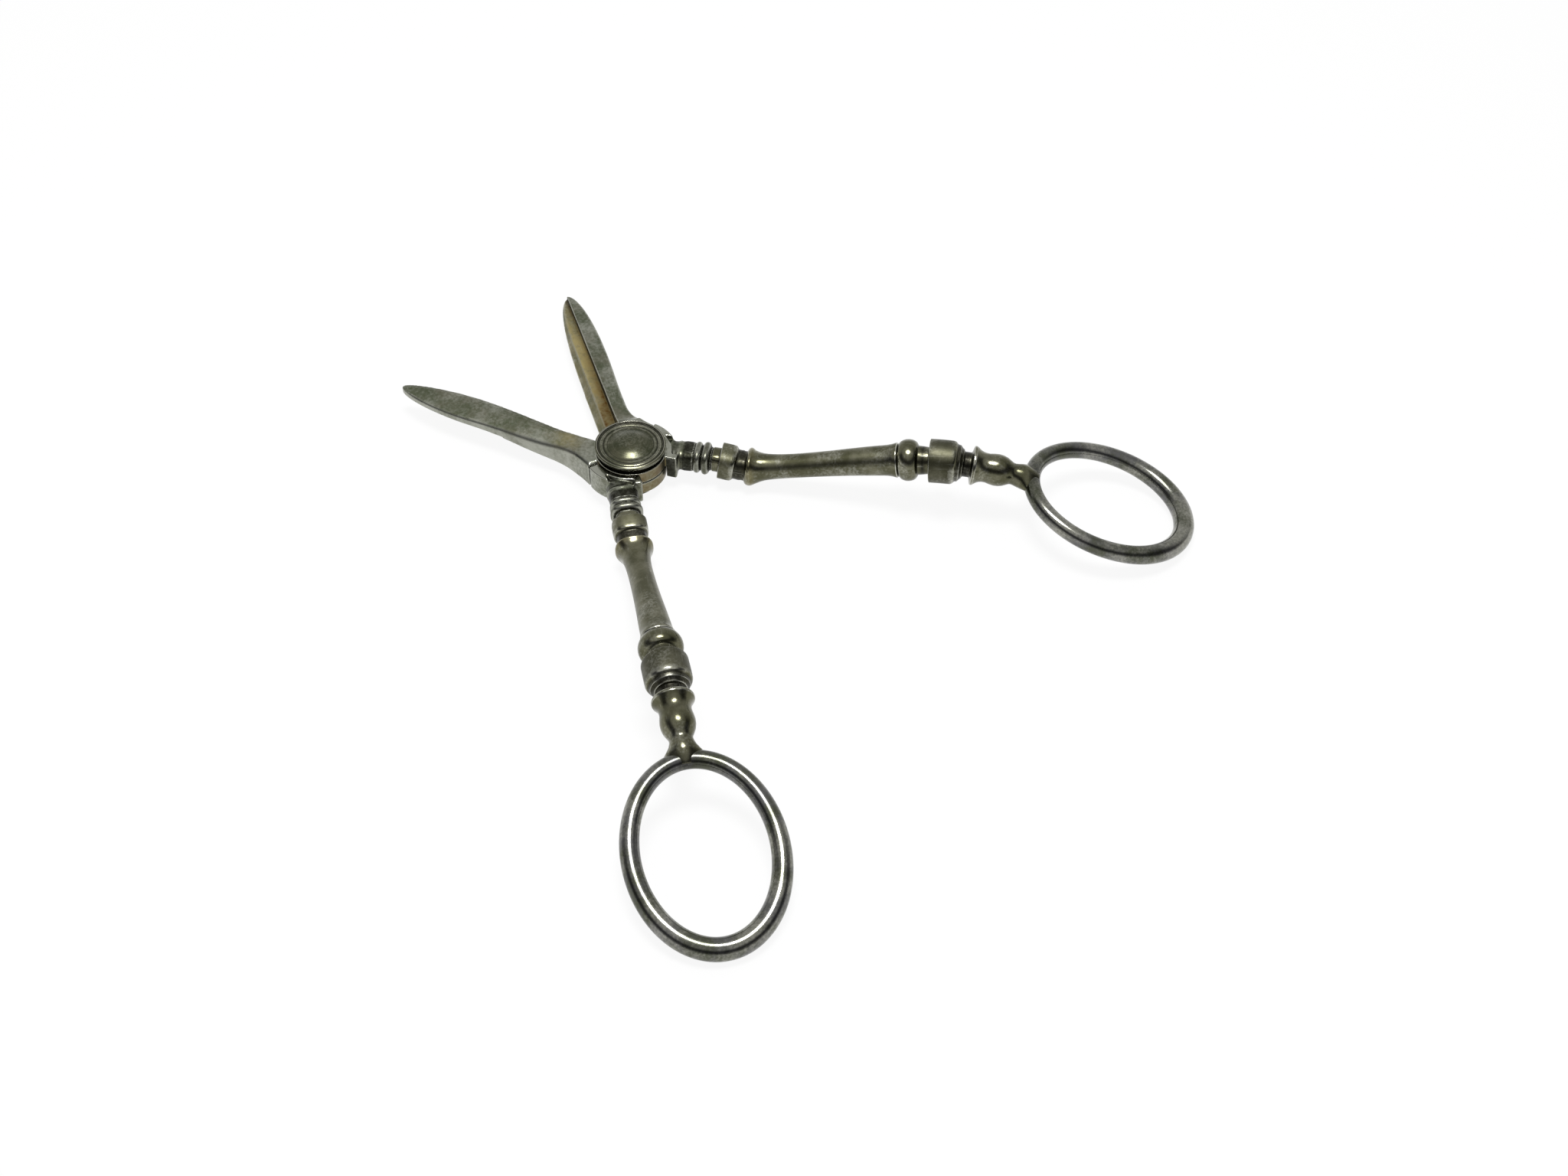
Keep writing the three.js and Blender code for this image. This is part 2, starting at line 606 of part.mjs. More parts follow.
const holeR = SHANK_R + SHANK_GAP;
const headWasher = ring(holeR, HEAD_WASHER_R, lapHigh + SEAT_GAP, lapHigh + SEAT_GAP + HEAD_WASHER_T);
const rearWasher = ring(holeR, REAR_WASHER_R, NUT_HEIGHT + SEAT_GAP, NUT_HEIGHT + SEAT_GAP + REAR_WASHER_T);

addPiece('blade_upper', geometryOf(bladeUpperSolid), 0x8f8d86, 0.42);
addPiece('blade_lower', geometryOf(bladeLowerSolid), 0x8d8779, 0.44);
addPiece('stem_upper', geometryOf(stemSolid(1)).rotateZ(stemUpper), 0x75736d, 0.34);
addPiece('stem_lower', geometryOf(stemSolid(-1)).rotateZ(stemLower), 0x74726c, 0.35);
addPiece('bow_upper', bowGeometry(1, 0).rotateZ(stemUpper), 0x7b7973, 0.3);
addPiece('bow_lower', bowGeometry(-1, 0).rotateZ(stemLower), 0x7a7872, 0.31);
addPiece('pivot_screw', screwGeometry(), 0x807d70, 0.32);
addPiece('head_washer', headWasher, 0x5e5c57, 0.5);
addPiece('rear_washer', rearWasher, 0x5c5a55, 0.52);
addPiece('rear_nut', nutGeometry(), 0x7e7b73, 0.38);

export default shears;
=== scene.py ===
# Grape shears in old silver plate, lying open on a pale table.
# Their sizes are in millimetres and heights are over the table; a mesh turns into metres where it is
# made. The table and the lamp are in metres from the start.
import itertools
import json
import math

import bpy
import numpy as np
from mathutils import Matrix, Vector


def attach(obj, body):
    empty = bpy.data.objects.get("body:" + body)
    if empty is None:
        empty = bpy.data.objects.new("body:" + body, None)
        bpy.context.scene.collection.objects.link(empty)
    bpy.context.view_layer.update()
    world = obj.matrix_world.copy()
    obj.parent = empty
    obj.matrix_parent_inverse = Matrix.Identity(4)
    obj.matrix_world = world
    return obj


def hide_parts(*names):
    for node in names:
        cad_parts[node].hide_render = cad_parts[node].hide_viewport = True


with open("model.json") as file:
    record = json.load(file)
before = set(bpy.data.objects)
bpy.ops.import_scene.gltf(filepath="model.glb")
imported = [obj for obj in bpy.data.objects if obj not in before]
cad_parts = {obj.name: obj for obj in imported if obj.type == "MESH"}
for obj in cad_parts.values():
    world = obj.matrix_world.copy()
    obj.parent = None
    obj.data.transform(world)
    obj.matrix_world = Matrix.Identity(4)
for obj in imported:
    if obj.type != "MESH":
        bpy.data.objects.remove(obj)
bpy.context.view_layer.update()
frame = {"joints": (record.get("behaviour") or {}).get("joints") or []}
MM = 0.001

# Lower blade
# One brass casting, silver plated: half of the pivot drum, a square beaded neck that takes the stem,
# and a blade with a high outer land and a low inner ledge. It is filed by hand, so its edges are soft.
# The plate has worn through to brass on the ledge and round the lap disc.
MIDDLE = frame["joints"][0]["pos_m"][2] / MM
STEM_LOWER = math.radians(-124.7)
STEM_UPPER = math.radians(-55.3)
BLADE_LOWER = math.radians(61.4)
RUN_GAP = 0.3

LAP_R = 7.3
LAP_EDGE = 0.14
LAP_FILLET = 0.12
CLEAR_R = LAP_R + RUN_GAP
CLEAR_EDGE = 0.1
STOP_GAP = math.degrees(RUN_GAP / LAP_R)
SHOULDER_R = 9.7
# The ends of the shoulder are in degrees from the stem.
SHOULDER_INNER = 5.5
SHOULDER_OUTER = 70.5
SHOULDER_EDGE = 0.4
DRUM_HEIGHT = 5.6
DRUM_LOW = MIDDLE - DRUM_HEIGHT / 2
DRUM_HIGH = MIDDLE + DRUM_HEIGHT / 2
DRUM_EDGE = 0.3
BORE_R = 2.3

STEM_OFFSET = 3.3
NECK_R = 2.85
NECK_ROOT_R = 3.0
NECK_PLAIN_AT = 12.0
NECK_TALL = 0.88
NECK_ROOT_TALL = 0.78
NECK_SQUARE = 3.4
NECK_ROOT_SQUARE = 2.3
NECK_FILLET = 0.5
NECK_START = CLEAR_R + 0.1
NECK_END = 16.5
NECK_END_EDGE = 0.12
NECK_STEP = 0.04
GROOVE_R = 2.4
BEADS_AT = 12.75
# Each bead has its middle, its width and its radius.
BEADS = [(13.5, 1.5, 3.2), (15.25, 1.7, 3.35)]
BEAD_SQUARE = 2.6
KNUCKLE_AT = 9.7
KNUCKLE_RISE = 0.25
KNUCKLE_LENGTH = 0.45
NOTCH_R = 8.3
NOTCH_FALL = 1.8
NOTCH_DEPTH = 0.75
NOTCH_HALF = 2.8
NOTCH_SIDE = 0.6
NOTCH_EDGE = 0.15

# On a blade, t runs out from the pivot and n across. A face has a rise at the waist and one at the tip.
TIP_T = 55.95
WAIST_T = 16.0
FLARE_T = 11.0
BELLY_T = 36.0
LAND_WAIST = 3.2
LAND_BELLY = 3.65
LAND_RISES = (1.0, 0.35)
LAND_EDGE = 0.45
LAND_EDGE_REACH = 2.0
LAND_ROOT_TOP = DRUM_HIGH - 0.5
LEDGE_WAIST = 3.8
LEDGE_BELLY = 3.95
LEDGE_RISES = (-0.9, -0.5)
LEDGE_EDGE = 0.2
LEDGE_BEVEL = 0.38
LEDGE_UPRIGHT = 0.3
STEP_EDGE = 0.16
STEP_FILLET = 0.22
FLOOR_TIP = MIDDLE - 1.3
FLOOR_EDGE = 0.3
LOWER_BLUNT = 0.7
BLADE_FILLET = 0.35
CURVE_STEPS = 14


def joined(one, other, fillet):
    """Distance from two solids made one, with a fillet of that radius between them."""
    reach = np.hypot(np.maximum(fillet - one, 0), np.maximum(fillet - other, 0))
    return np.maximum(fillet, np.minimum(one, other)) - reach


def shared(one, other, edge):
    """Distance from what two solids have in common, with its edges rounded to that radius."""
    reach = np.hypot(np.maximum(edge + one, 0), np.maximum(edge + other, 0))
    return np.minimum(-edge, np.maximum(one, other)) + reach


def curve(*pulls):
    """Points of the curve that starts and ends on the outer points and leans to those between."""
    share = np.linspace(0, 1, CURVE_STEPS + 1)[:, None]
    points = [np.array(p, float) for p in pulls]
    while len(points) > 1:
        points = [a + (b - a) * share for a, b in zip(points, points[1:])]
    return points[0]


def from_outline(t, n, points):
    """Distance from a closed outline, less than nought inside it."""
    shape = np.broadcast(t, n).shape
    nearest = np.full(shape, np.inf)
    inside = np.zeros(shape, bool)
    for (t0, n0), (t1, n1) in zip(points, np.roll(points, -1, axis=0)):
        dt, dn = t1 - t0, n1 - n0
        length = dt * dt + dn * dn
        if length < 1e-12:
            continue
        share = np.clip(((t - t0) * dt + (n - n0) * dn) / length, 0, 1)
        nearest = np.minimum(nearest, (t - t0 - share * dt) ** 2 + (n - n0 - share * dn) ** 2)
        if dn:
            inside ^= ((n0 > n) != (n1 > n)) & (t < t0 + (n - n0) / dn * dt)
    return np.where(inside, -1, 1) * np.sqrt(nearest)


def face_height(t, at_waist, at_tip):
    """Height of a blade face that runs straight from the waist to the tip."""
    return MIDDLE + at_waist + (at_tip - at_waist) * (t - WAIST_T) / (TIP_T - WAIST_T)


def ledge_height(t):
    return face_height(t, *LEDGE_RISES)


def land_height(t):
    return face_height(t, *LAND_RISES)


def nose(belly_t, belly_n, tip_t, tip_n, blunt):
    """Blade edge from the belly round to the tip."""
    lean = tip_n + (belly_n - tip_n) * blunt
    return curve((belly_t, belly_n), ((belly_t + tip_t) / 2, belly_n), (tip_t, lean), (tip_t, tip_n))


def eased(t0, n0, t1, n1):
    """Blade edge that leaves one width and comes to the other without a corner."""
    half = (t0 + t1) / 2
    return curve((t0, n0), (half, n0), (half, n1), (t1, n1))


def blurred(values, spread, reach):
    """Values along a line, each mixed with its neighbours up to that many steps away."""
    blur = np.exp(-0.5 * (np.arange(-reach, reach + 1) / spread) ** 2)
    return np.convolve(np.pad(values, reach, mode="edge"), blur / blur.sum(), mode="valid")


def neck_width():
    """Stations along the neck with its half width there: a plain square part and two beads."""
    station = np.arange(7.0, 18.0, NECK_STEP)
    width = np.interp(station, [SHOULDER_R, NECK_PLAIN_AT], [NECK_ROOT_R, NECK_R])
    width += KNUCKLE_RISE * np.exp(-((station - KNUCKLE_AT) / KNUCKLE_LENGTH) ** 2)
    width[station > BEADS_AT] = GROOVE_R
    for middle, wide, high in BEADS:
        share = np.clip(1 - ((station - middle) / (wide / 2)) ** 2, 0, 1)
        width = np.maximum(width, GROOVE_R + (high - GROOVE_R) * np.sqrt(share))
    return station, blurred(width, spread=2, reach=6)


NECK_STATIONS, NECK_WIDTHS = neck_width()


def ramp(value, start, end):
    """Nought up to the start, one from the end on and a straight rise between; it may also run backwards."""
    return np.clip((value - start) / (end - start), 0, 1)


def drum_half(t, n, z, turn, side, lap_low, lap_high, bored):
    """Lap disc, shoulder wall and neck. The stem lies at that turn from the blade."""
    r = np.hypot(t, n)
    ends = sorted([turn - side * math.radians(SHOULDER_INNER), turn + side * math.radians(SHOULDER_OUTER)])
    first = t * math.sin(ends[0]) - n * math.cos(ends[0])
    last = n * math.cos(ends[1]) - t * math.sin(ends[1])
    from_faces = np.abs(z - MIDDLE) - DRUM_HEIGHT / 2
    barrel = shared(r - SHOULDER_R, from_faces, DRUM_EDGE)
    wall = shared(barrel, np.maximum(first, last), SHOULDER_EDGE)

    along = t * math.cos(turn) + n * math.sin(turn)
    across = n * math.cos(turn) - t * math.sin(turn) - side * STEM_OFFSET
    over_neck = ramp(np.abs(across), NOTCH_HALF, NOTCH_HALF - NOTCH_SIDE) * (along > 0) * (z > MIDDLE)
    notch = from_faces + over_neck * np.clip(NOTCH_FALL * (r - NOTCH_R), 0, NOTCH_DEPTH)
    wall = shared(wall, notch / np.hypot(1, NOTCH_FALL), NOTCH_EDGE)

    high = (z - MIDDLE) / np.interp(along, [9.0, 12.5], [NECK_ROOT_TALL, NECK_TALL])
    squareness = [NECK_ROOT_SQUARE, NECK_SQUARE, NECK_SQUARE, BEAD_SQUARE]
    power = np.interp(along, [10.0, 11.0, NECK_PLAIN_AT, 13.0], squareness)
    square = (np.abs(across) ** power + np.abs(high) ** power) ** (1 / power)
    # The flattened section reads more than its true distance, so it is taken at nine tenths.
    neck = 0.9 * (square - np.interp(along, NECK_STATIONS, NECK_WIDTHS))
    neck = shared(neck, np.maximum(along - NECK_END, NECK_START - along), NECK_END_EDGE)

    from_lap = np.abs(z - (lap_low + lap_high) / 2) - (lap_high - lap_low) / 2
    disc = shared(r - LAP_R, from_lap, LAP_EDGE)
    solid = shared(joined(wall, neck, NECK_FILLET), -bored, CLEAR_EDGE)
    return joined(solid, disc, LAP_FILLET)


LOWER_LAP_TOP = MIDDLE - RUN_GAP / 2
LOWER_STOP = STEM_UPPER + math.radians(SHOULDER_OUTER + STOP_GAP) - BLADE_LOWER
LOWER_STOP_POINT = (SHOULDER_R * math.cos(LOWER_STOP), SHOULDER_R * math.sin(LOWER_STOP))
LAND_OUTLINE = np.vstack([
    [(0, 0)],
    curve(LOWER_STOP_POINT, (FLARE_T, -LAND_WAIST), (WAIST_T, -LAND_WAIST)),
    eased(WAIST_T, -LAND_WAIST, BELLY_T, -LAND_BELLY),
    nose(BELLY_T, -LAND_BELLY, TIP_T, 0, LOWER_BLUNT),
])
LAND_ROOT = curve(
    (SHOULDER_R, LAND_ROOT_TOP), (FLARE_T, land_height(WAIST_T)), (WAIST_T, land_height(WAIST_T))
)
LEDGE_SIDE = np.vstack([
    [(0, LEDGE_WAIST)],
    eased(WAIST_T, LEDGE_WAIST, BELLY_T, LEDGE_BELLY),
    nose(BELLY_T, LEDGE_BELLY, TIP_T, 0, LOWER_BLUNT),
])


def land_top(t):
    """Height of the land, which climbs to the drum before the waist."""
    return np.where(t < WAIST_T, np.interp(t, LAND_ROOT[:, 0], LAND_ROOT[:, 1]), land_height(t))


def lower_casting(t, n, z):
    """Distance from the lower casting. The blade runs along t, with its ledge where n is over nought."""
    above = np.maximum(np.hypot(t, n) - CLEAR_R, LOWER_LAP_TOP - z)
    floor = np.interp(t, [SHOULDER_R, TIP_T], [DRUM_LOW, FLOOR_TIP])

    soft = STEP_EDGE + (LAND_EDGE - STEP_EDGE) * ramp(-n, 0, LAND_EDGE_REACH)
    land = shared(from_outline(t, n, LAND_OUTLINE), z - land_top(t), soft)
    land = shared(land, floor - z, FLOOR_EDGE)

    ledge_top = ledge_height(t)
    stations, widths = LEDGE_SIDE.T
    side = np.interp(t, stations, widths)
    # Stations that meet are set a hair apart, so that the slope between them can be found.
    steep = np.abs(np.gradient(widths, stations + np.arange(len(stations)) * 1e-6))
    slope = np.hypot(np.interp(t, stations, steep), LEDGE_BELLY * LEDGE_BEVEL / 2)
    share = (z - DRUM_LOW) / (ledge_top - DRUM_LOW)
    bevel = LEDGE_BEVEL * np.clip((share - LEDGE_UPRIGHT) / (1 - LEDGE_UPRIGHT), 0, 1.2)
    flank = (n - side * (1 - bevel)) / np.hypot(1, slope)
    ends = np.maximum(-t, t - TIP_T)
    ledge = shared(np.maximum(flank, np.maximum(-n - RUN_GAP, ends)), z - ledge_top, LEDGE_EDGE)
    ledge = shared(ledge, floor - z, LEDGE_EDGE)

    blade = np.maximum(joined(land, ledge, STEP_FILLET), -above)
    drum = drum_half(t, n, z, STEM_LOWER - BLADE_LOWER, -1, DRUM_LOW, LOWER_LAP_TOP, above)
    return np.maximum(joined(drum, blade, BLADE_FILLET), BORE_R - np.hypot(t, n))


GRID = 0.18


def skin(solid, low, high):
    """Closed mesh over the surface of a solid that is given by its distance: points and squares."""
    axes = [np.arange(a, b + GRID, GRID) for a, b in zip(low, high)]
    field = solid(*np.meshgrid(*axes, indexing="ij", sparse=True))
    inside = field < 0
    corners = list(itertools.product((0, 1), repeat=3))
    cells_shape = np.array(field.shape) - 1
    filled = sum(
        inside[i:i + cells_shape[0], j:j + cells_shape[1], k:k + cells_shape[2]].astype(np.int8)
        for i, j, k in corners
    )
    cells = np.argwhere((filled > 0) & (filled < len(corners)))
    number = np.full(cells_shape, -1)
    number[tuple(cells.T)] = np.arange(len(cells))
    depth = {c: field[tuple((cells + c).T)] for c in corners}
    place = np.zeros((len(cells), 3))
    hits = np.zeros(len(cells))
    for start, end in itertools.combinations(corners, 2):
        if sum(np.abs(np.subtract(start, end))) != 1:
            continue
        hit = (depth[start] < 0) != (depth[end] < 0)
        share = np.divide(depth[start], depth[start] - depth[end], out=np.zeros(len(cells)), where=hit)
        place += hit[:, None] * (np.array(start) + share[:, None] * np.subtract(end, start))
        hits += hit
    points = np.array(low) + (cells + place / hits[:, None]) * GRID

    squares = []
    for axis in range(3):
        one = np.eye(3, dtype=int)[axis]
        side, up = np.roll(one, 1), np.roll(one, 2)
        near = np.take(inside, range(cells_shape[axis]), axis=axis)
        far = np.take(inside, range(1, cells_shape[axis] + 1), axis=axis)
        for leaving in (True, False):
            edges = np.argwhere(near & ~far if leaving else far & ~near)
            ring = [edges - side - up, edges - up, edges, edges - side]
            square = np.stack([number[tuple(c.T)] for c in ring], axis=1)
            squares.append(square if leaving else square[:, ::-1])
    return points, np.vstack(squares)


def new_mesh(name, points, faces):
    """Mesh of those points, with each face a list of their numbers."""
    mesh = bpy.data.meshes.new(name)
    mesh.from_pydata(np.asarray(points).tolist(), [], [list(f) for f in faces])
    mesh.update()
    return mesh


def thinned(mesh, share):
    """The same surface with fewer faces, kept where it bends."""
    holder = bpy.data.objects.new("thinning", mesh)
    bpy.context.scene.collection.objects.link(holder)
    modifier = holder.modifiers.new("thin", "DECIMATE")
    modifier.ratio = share
    graph = bpy.context.evaluated_depsgraph_get()
    made = bpy.data.meshes.new_from_object(holder.evaluated_get(graph))
    bpy.data.objects.remove(holder)
    return made


def note(mesh, name, values):
    """Keeps a number or a place for each point of a mesh, for its material to read."""
    values = np.asarray(values, np.float32)
    kind, key = ("FLOAT", "value") if values.ndim == 1 else ("FLOAT_VECTOR", "vector")
    kept = mesh.attributes.get(name) or mesh.attributes.new(name, kind, "POINT")
    kept.data.foreach_set(key, values.ravel())


def noted_on(mesh, name):
    """The numbers that a mesh keeps under that name."""
    return np.array([v.value for v in mesh.attributes[name].data])


def within(value, start, end):
    return (value > start) & (value < end)


def swung(points, turn):
    """Points turned about the pivot."""
    cos, sin = math.cos(turn), math.sin(turn)
    return points @ np.array([[cos, sin, 0], [-sin, cos, 0], [0, 0, 1]])


# The solid is felt this far to each side of a point, and a point moves no further than this at a time.
FEEL = 0.14
LONGEST_MOVE = 0.1


def settled(solid, points):
    """Points drawn onto a solid's true surface, with its outward way and how sharply it bends there."""
    for _ in range(3):
        here = solid(*points.T)
        sides = [(solid(*(points + d).T), solid(*(points - d).T)) for d in np.eye(3) * FEEL]
        slope = np.stack([(a - b) / (2 * FEEL) for a, b in sides], axis=1)
        steep = (slope ** 2).sum(axis=1) + 1e-9
        points = points - np.clip(here / steep, -LONGEST_MOVE, LONGEST_MOVE)[:, None] * slope
    bend = (sum(a + b for a, b in sides) - 6 * here) / FEEL ** 2
    return points, slope / np.sqrt(steep)[:, None], bend


# These darken the seams between the castings and the neck with dirt and painted shade, and the notch at the
# neck's root with painted shade.
SEAM_DIRT_AND_SHADE = 0.9
NOTCH_SHADE = 0.6
NECK_DIRT_AND_SHADE = 0.95
ROOT_DULL = 0.6


def note_wear_and_shade(mesh, points, normals, bend, room, stem_turn):
    """Notes the rubbed edges, the dirt and painted shade in the corners of a casting, and the satin of its
    blade.
    """
    t, n, z = points.T
    r = np.hypot(t, n)
    facing_out = np.abs(t * normals[:, 0] + n * normals[:, 1]) / r
    seam = within(r, LAP_R, SHOULDER_R + 0.6) & (facing_out < 0.5) & (np.abs(normals[:, 2]) < 0.5)
    station = t * math.cos(stem_turn) + n * math.sin(stem_turn)
    past_rim = r > NOTCH_R + NOTCH_EDGE
    notch = past_rim & within(station, 8.0, 9.3) & (z < DRUM_HIGH - NOTCH_EDGE)
    by_root = past_rim & within(station, 7.5, 10.0)
    neck_dirt_and_shade = NECK_DIRT_AND_SHADE * ramp(station, 10.3, 10.7) * np.maximum(ramp(station, 13.0, 12.7), 0.4)
    width = np.interp(station, NECK_STATIONS, NECK_WIDTHS)
    beside = np.maximum(*(np.interp(station + d, NECK_STATIONS, NECK_WIDTHS) for d in (-0.8, 0.8)))
    groove = ramp(beside - width, 0.1, 0.4) * ramp(station, SHOULDER_R, SHOULDER_R + 0.8)
    note(mesh, "edge", ramp(bend, 0.9, 3.5) * (1 - ROOT_DULL * by_root))
    # Corners with little room and the grooves between the beads are darkened as well: dirt and painted shade.
    dirt_and_shade = [ramp(room, 0.9, 0.2), SEAM_DIRT_AND_SHADE * seam, NOTCH_SHADE * notch, neck_dirt_and_shade, groove]
    note(mesh, "nook", np.maximum.reduce(dirt_and_shade))
    note(mesh, "satin", ramp(t, SHOULDER_R, SHOULDER_R + 3))


FACES_KEPT = 0.3
CAST_BACK = NECK_END + 1.9
CAST_SIDE = SHOULDER_R + 0.9
CAST_FRONT = 1.2
CAST_ROOM = 0.4
# A corner, darkened with dirt and painted shade, is told by how little room there is this far out from it.
CORNER_REACH = 1.1


def cast(name, solid, tip_t, turn, stem_turn):
    """Mesh of a casting in metres, turned into place, with its wear and painted shade noted; also its points
    and normals.
    """
    low = (-CAST_BACK, -CAST_SIDE, DRUM_LOW - CAST_ROOM)
    high = (tip_t + CAST_FRONT, CAST_SIDE, DRUM_HIGH + CAST_ROOM)
    points, squares = skin(solid, low, high)
    mesh = thinned(new_mesh(name, points, squares), FACES_KEPT)
    mesh.name = name
    points, normals, bend = settled(solid, np.array([v.co for v in mesh.vertices]))
    mesh.vertices.foreach_set("co", (swung(points, turn) * MM).ravel())
    mesh.update()
    mesh.shade_smooth()
    mesh.normals_split_custom_set_from_vertices(swung(normals, turn).tolist())
    room = solid(*(points + normals * CORNER_REACH).T) / CORNER_REACH
    note_wear_and_shade(mesh, points, normals, bend, room, stem_turn)
    return mesh, points, normals


LAP_BRASS = 0.6
LOWER_LAP_STAIN = 0.8
LOWER_LAP_DIRT = 0.45
FLANK_BRASS = 0.3
LEDGE_ROOT_DIRT = 0.3


def lap_rim(points, normals):
    """One on the rim of a lap disc, and nought away from it and in the joint."""
    t, n, z = points.T
    rim = ramp(np.abs(np.hypot(t, n) - LAP_R), 0.2, 0.1) * (np.abs(normals[:, 2]) < 0.6)
    return rim * ramp(np.abs(z - MIDDLE), 0.2, 0.45)


def note_ledge_wear_and_shade(mesh, points, normals):
    """Notes the bare brass of the ledge, brown near the pivot and along the step, and the dirt and painted
    shade beside it.
    """
    t, n, z = points.T
    ledge = ramp(n, -0.1, 0.2) * ramp(n, 2.55, 2.2)
    ledge *= ramp(np.abs(z - ledge_height(t)), 0.35, 0.2) * ramp(t, 6, 8)
    flank = ramp(n, 2.0, 2.4) * ramp(normals[:, 1], 0.2, 0.5) * ramp(t, 10, 13)
    rim = lap_rim(points, normals)
    bare = np.maximum(ledge, FLANK_BRASS * flank) * np.interp(t, [8, 42, 54], [1, 0.9, 0.25])
    note(mesh, "brass", np.maximum(bare, LAP_BRASS * rim))
    by_pivot = np.interp(t, [9, 15, 22, 30], [1, 1, 0.5, 0.12])
    brown = ledge * np.minimum(by_pivot + 0.7 * ramp(n, 1.1, 0.2) ** 2, 1)
    note(mesh, "stain", np.maximum(brown, LOWER_LAP_STAIN * rim))
    # The foot of the step is darkened: painted shade of the step wall, with dirt.
    step = ramp(np.abs(n - 0.15), 0.75, 0.35) * (z < land_height(t) - 0.2) * ramp(t, 11, 14)
    root = LEDGE_ROOT_DIRT * ledge * ramp(t, 18, 12)
    note(mesh, "nook", np.maximum.reduce([noted_on(mesh, "nook"), step, root, LOWER_LAP_DIRT * rim]))


lower_mesh, points, normals = cast(
    "lower_blade", lower_casting, TIP_T, BLADE_LOWER, STEM_LOWER - BLADE_LOWER
)
note_ledge_wear_and_shade(lower_mesh, points, normals)


def new_group(name, inputs, outputs):
    """Empty node group with those sockets, and its two end nodes."""
    tree = bpy.data.node_groups.new(name, "ShaderNodeTree")
    for in_out, sockets in (("INPUT", inputs), ("OUTPUT", outputs)):
        for socket, kind in sockets.items():
            tree.interface.new_socket(socket, in_out=in_out, socket_type="NodeSocket" + kind)
    return tree, tree.nodes.new("NodeGroupInput").outputs, tree.nodes.new("NodeGroupOutput").inputs


def add(tree, kind, inputs=None, **settings):
    """New node with its settings made and its inputs filled or linked."""
    made = tree.nodes.new("ShaderNode" + kind)
    for name, value in settings.items():
        setattr(made, name, value)
    for key, value in (inputs or {}).items():
        if isinstance(value, bpy.types.NodeSocket):
            tree.links.new(value, made.inputs[key])
        else:
            made.inputs[key].default_value = value
    return made


def sum_of(tree, a, b):
    return add(tree, "Math", {0: a, 1: b}, operation="ADD").outputs[0]


def times(tree, a, b):
    return add(tree, "Math", {0: a, 1: b}, operation="MULTIPLY").outputs[0]


def between(tree, value, low, high, to_low=0.0, to_high=1.0):
    """The value's place between two limits, as a number from one end to the other."""
    inputs = {"Value": value, "From Min": low, "From Max": high, "To Min": to_low, "To Max": to_high}
    return add(tree, "MapRange", inputs, interpolation_type="SMOOTHSTEP").outputs[0]


def mixed(tree, share, one, other):
    return add(tree, "Mix", {"Factor": share, 6: one, 7: other}, data_type="RGBA").outputs[2]


def noise(tree, place, scale, detail, rough):
    inputs = {"Vector": place, "Scale": scale, "Detail": detail, "Roughness": rough}
    return add(tree, "TexNoise", inputs).outputs["Fac"]


def tarnish_group():
    """Sulphide film on silver: patchy, rubbed off the edges, and dark in the corners with dirt and painted
    shade.
    """
    tree, given, out = new_group(
        "tarnish",
        {"Place": "Vector", "Patches": "Float", "Cover": "Float", "Silver": "Color", "Film": "Color",
         "Bloom": "Color", "Dirt And Shade": "Color", "Edge": "Float", "Nook": "Float"},
        {"Color": "Color", "Film Left": "Float", "Speck": "Float"},
    )
    patch = noise(tree, given["Place"], given["Patches"], 5.0, 0.6)
    speck = noise(tree, given["Place"], times(tree, given["Patches"], 14.0), 3.0, 0.6)
    cloud = between(tree, patch, 0.32, 0.68, -0.3, 0.3)
    grain = between(tree, speck, 0.3, 0.7, -0.16, 0.16)
    rubbed = times(tree, given["Edge"], between(tree, speck, 0.25, 0.6, 0.75, 1.0))
    cover = sum_of(tree, sum_of(tree, given["Cover"], cloud), sum_of(tree, grain, times(tree, rubbed, -0.85)))
    film_left = between(tree, cover, 0.0, 1.0)
    hue = noise(tree, given["Place"], times(tree, given["Patches"], 1.2), 6.0, 0.68)
    film = mixed(tree, between(tree, hue, 0.4, 0.64), given["Film"], given["Bloom"])
    plate = mixed(tree, film_left, given["Silver"], film)
    # Here the nook takes the dark colour, which is dirt and also painted shade in corners, seams and grooves.
    left_in = times(tree, given["Nook"], between(tree, given["Edge"], 0.0, 1.0, 1.0, 0.2))
    dirt_and_shade = times(tree, left_in, between(tree, speck, 0.2, 0.7, 0.75, 1.0))
    tree.links.new(mixed(tree, dirt_and_shade, plate, given["Dirt And Shade"]), out["Color"])
    tree.links.new(film_left, out["Film Left"])
    tree.links.new(speck, out["Speck"])
    return tree


def brass_group():
    """Brass that shows where the plate has rubbed away, browner where it is stained."""
    tree, given, out = new_group(
        "bare_brass",
        {"Place": "Vector", "Color": "Color", "Brass": "Color", "Brown": "Color", "Bare": "Float",
         "Stain": "Float"},
        {"Color": "Color"},
    )
    broken = noise(tree, given["Place"], 420.0, 5.0, 0.65)
    shown = times(tree, given["Bare"], between(tree, broken, 0.3, 0.6, 0.45, 1.0))
    stained = times(tree, given["Stain"], between(tree, broken, 0.38, 0.62, 0.62, 1.0))
    metal = mixed(tree, stained, given["Brass"], given["Brown"])
    tree.links.new(mixed(tree, shown, given["Color"], metal), out["Color"])
    return tree


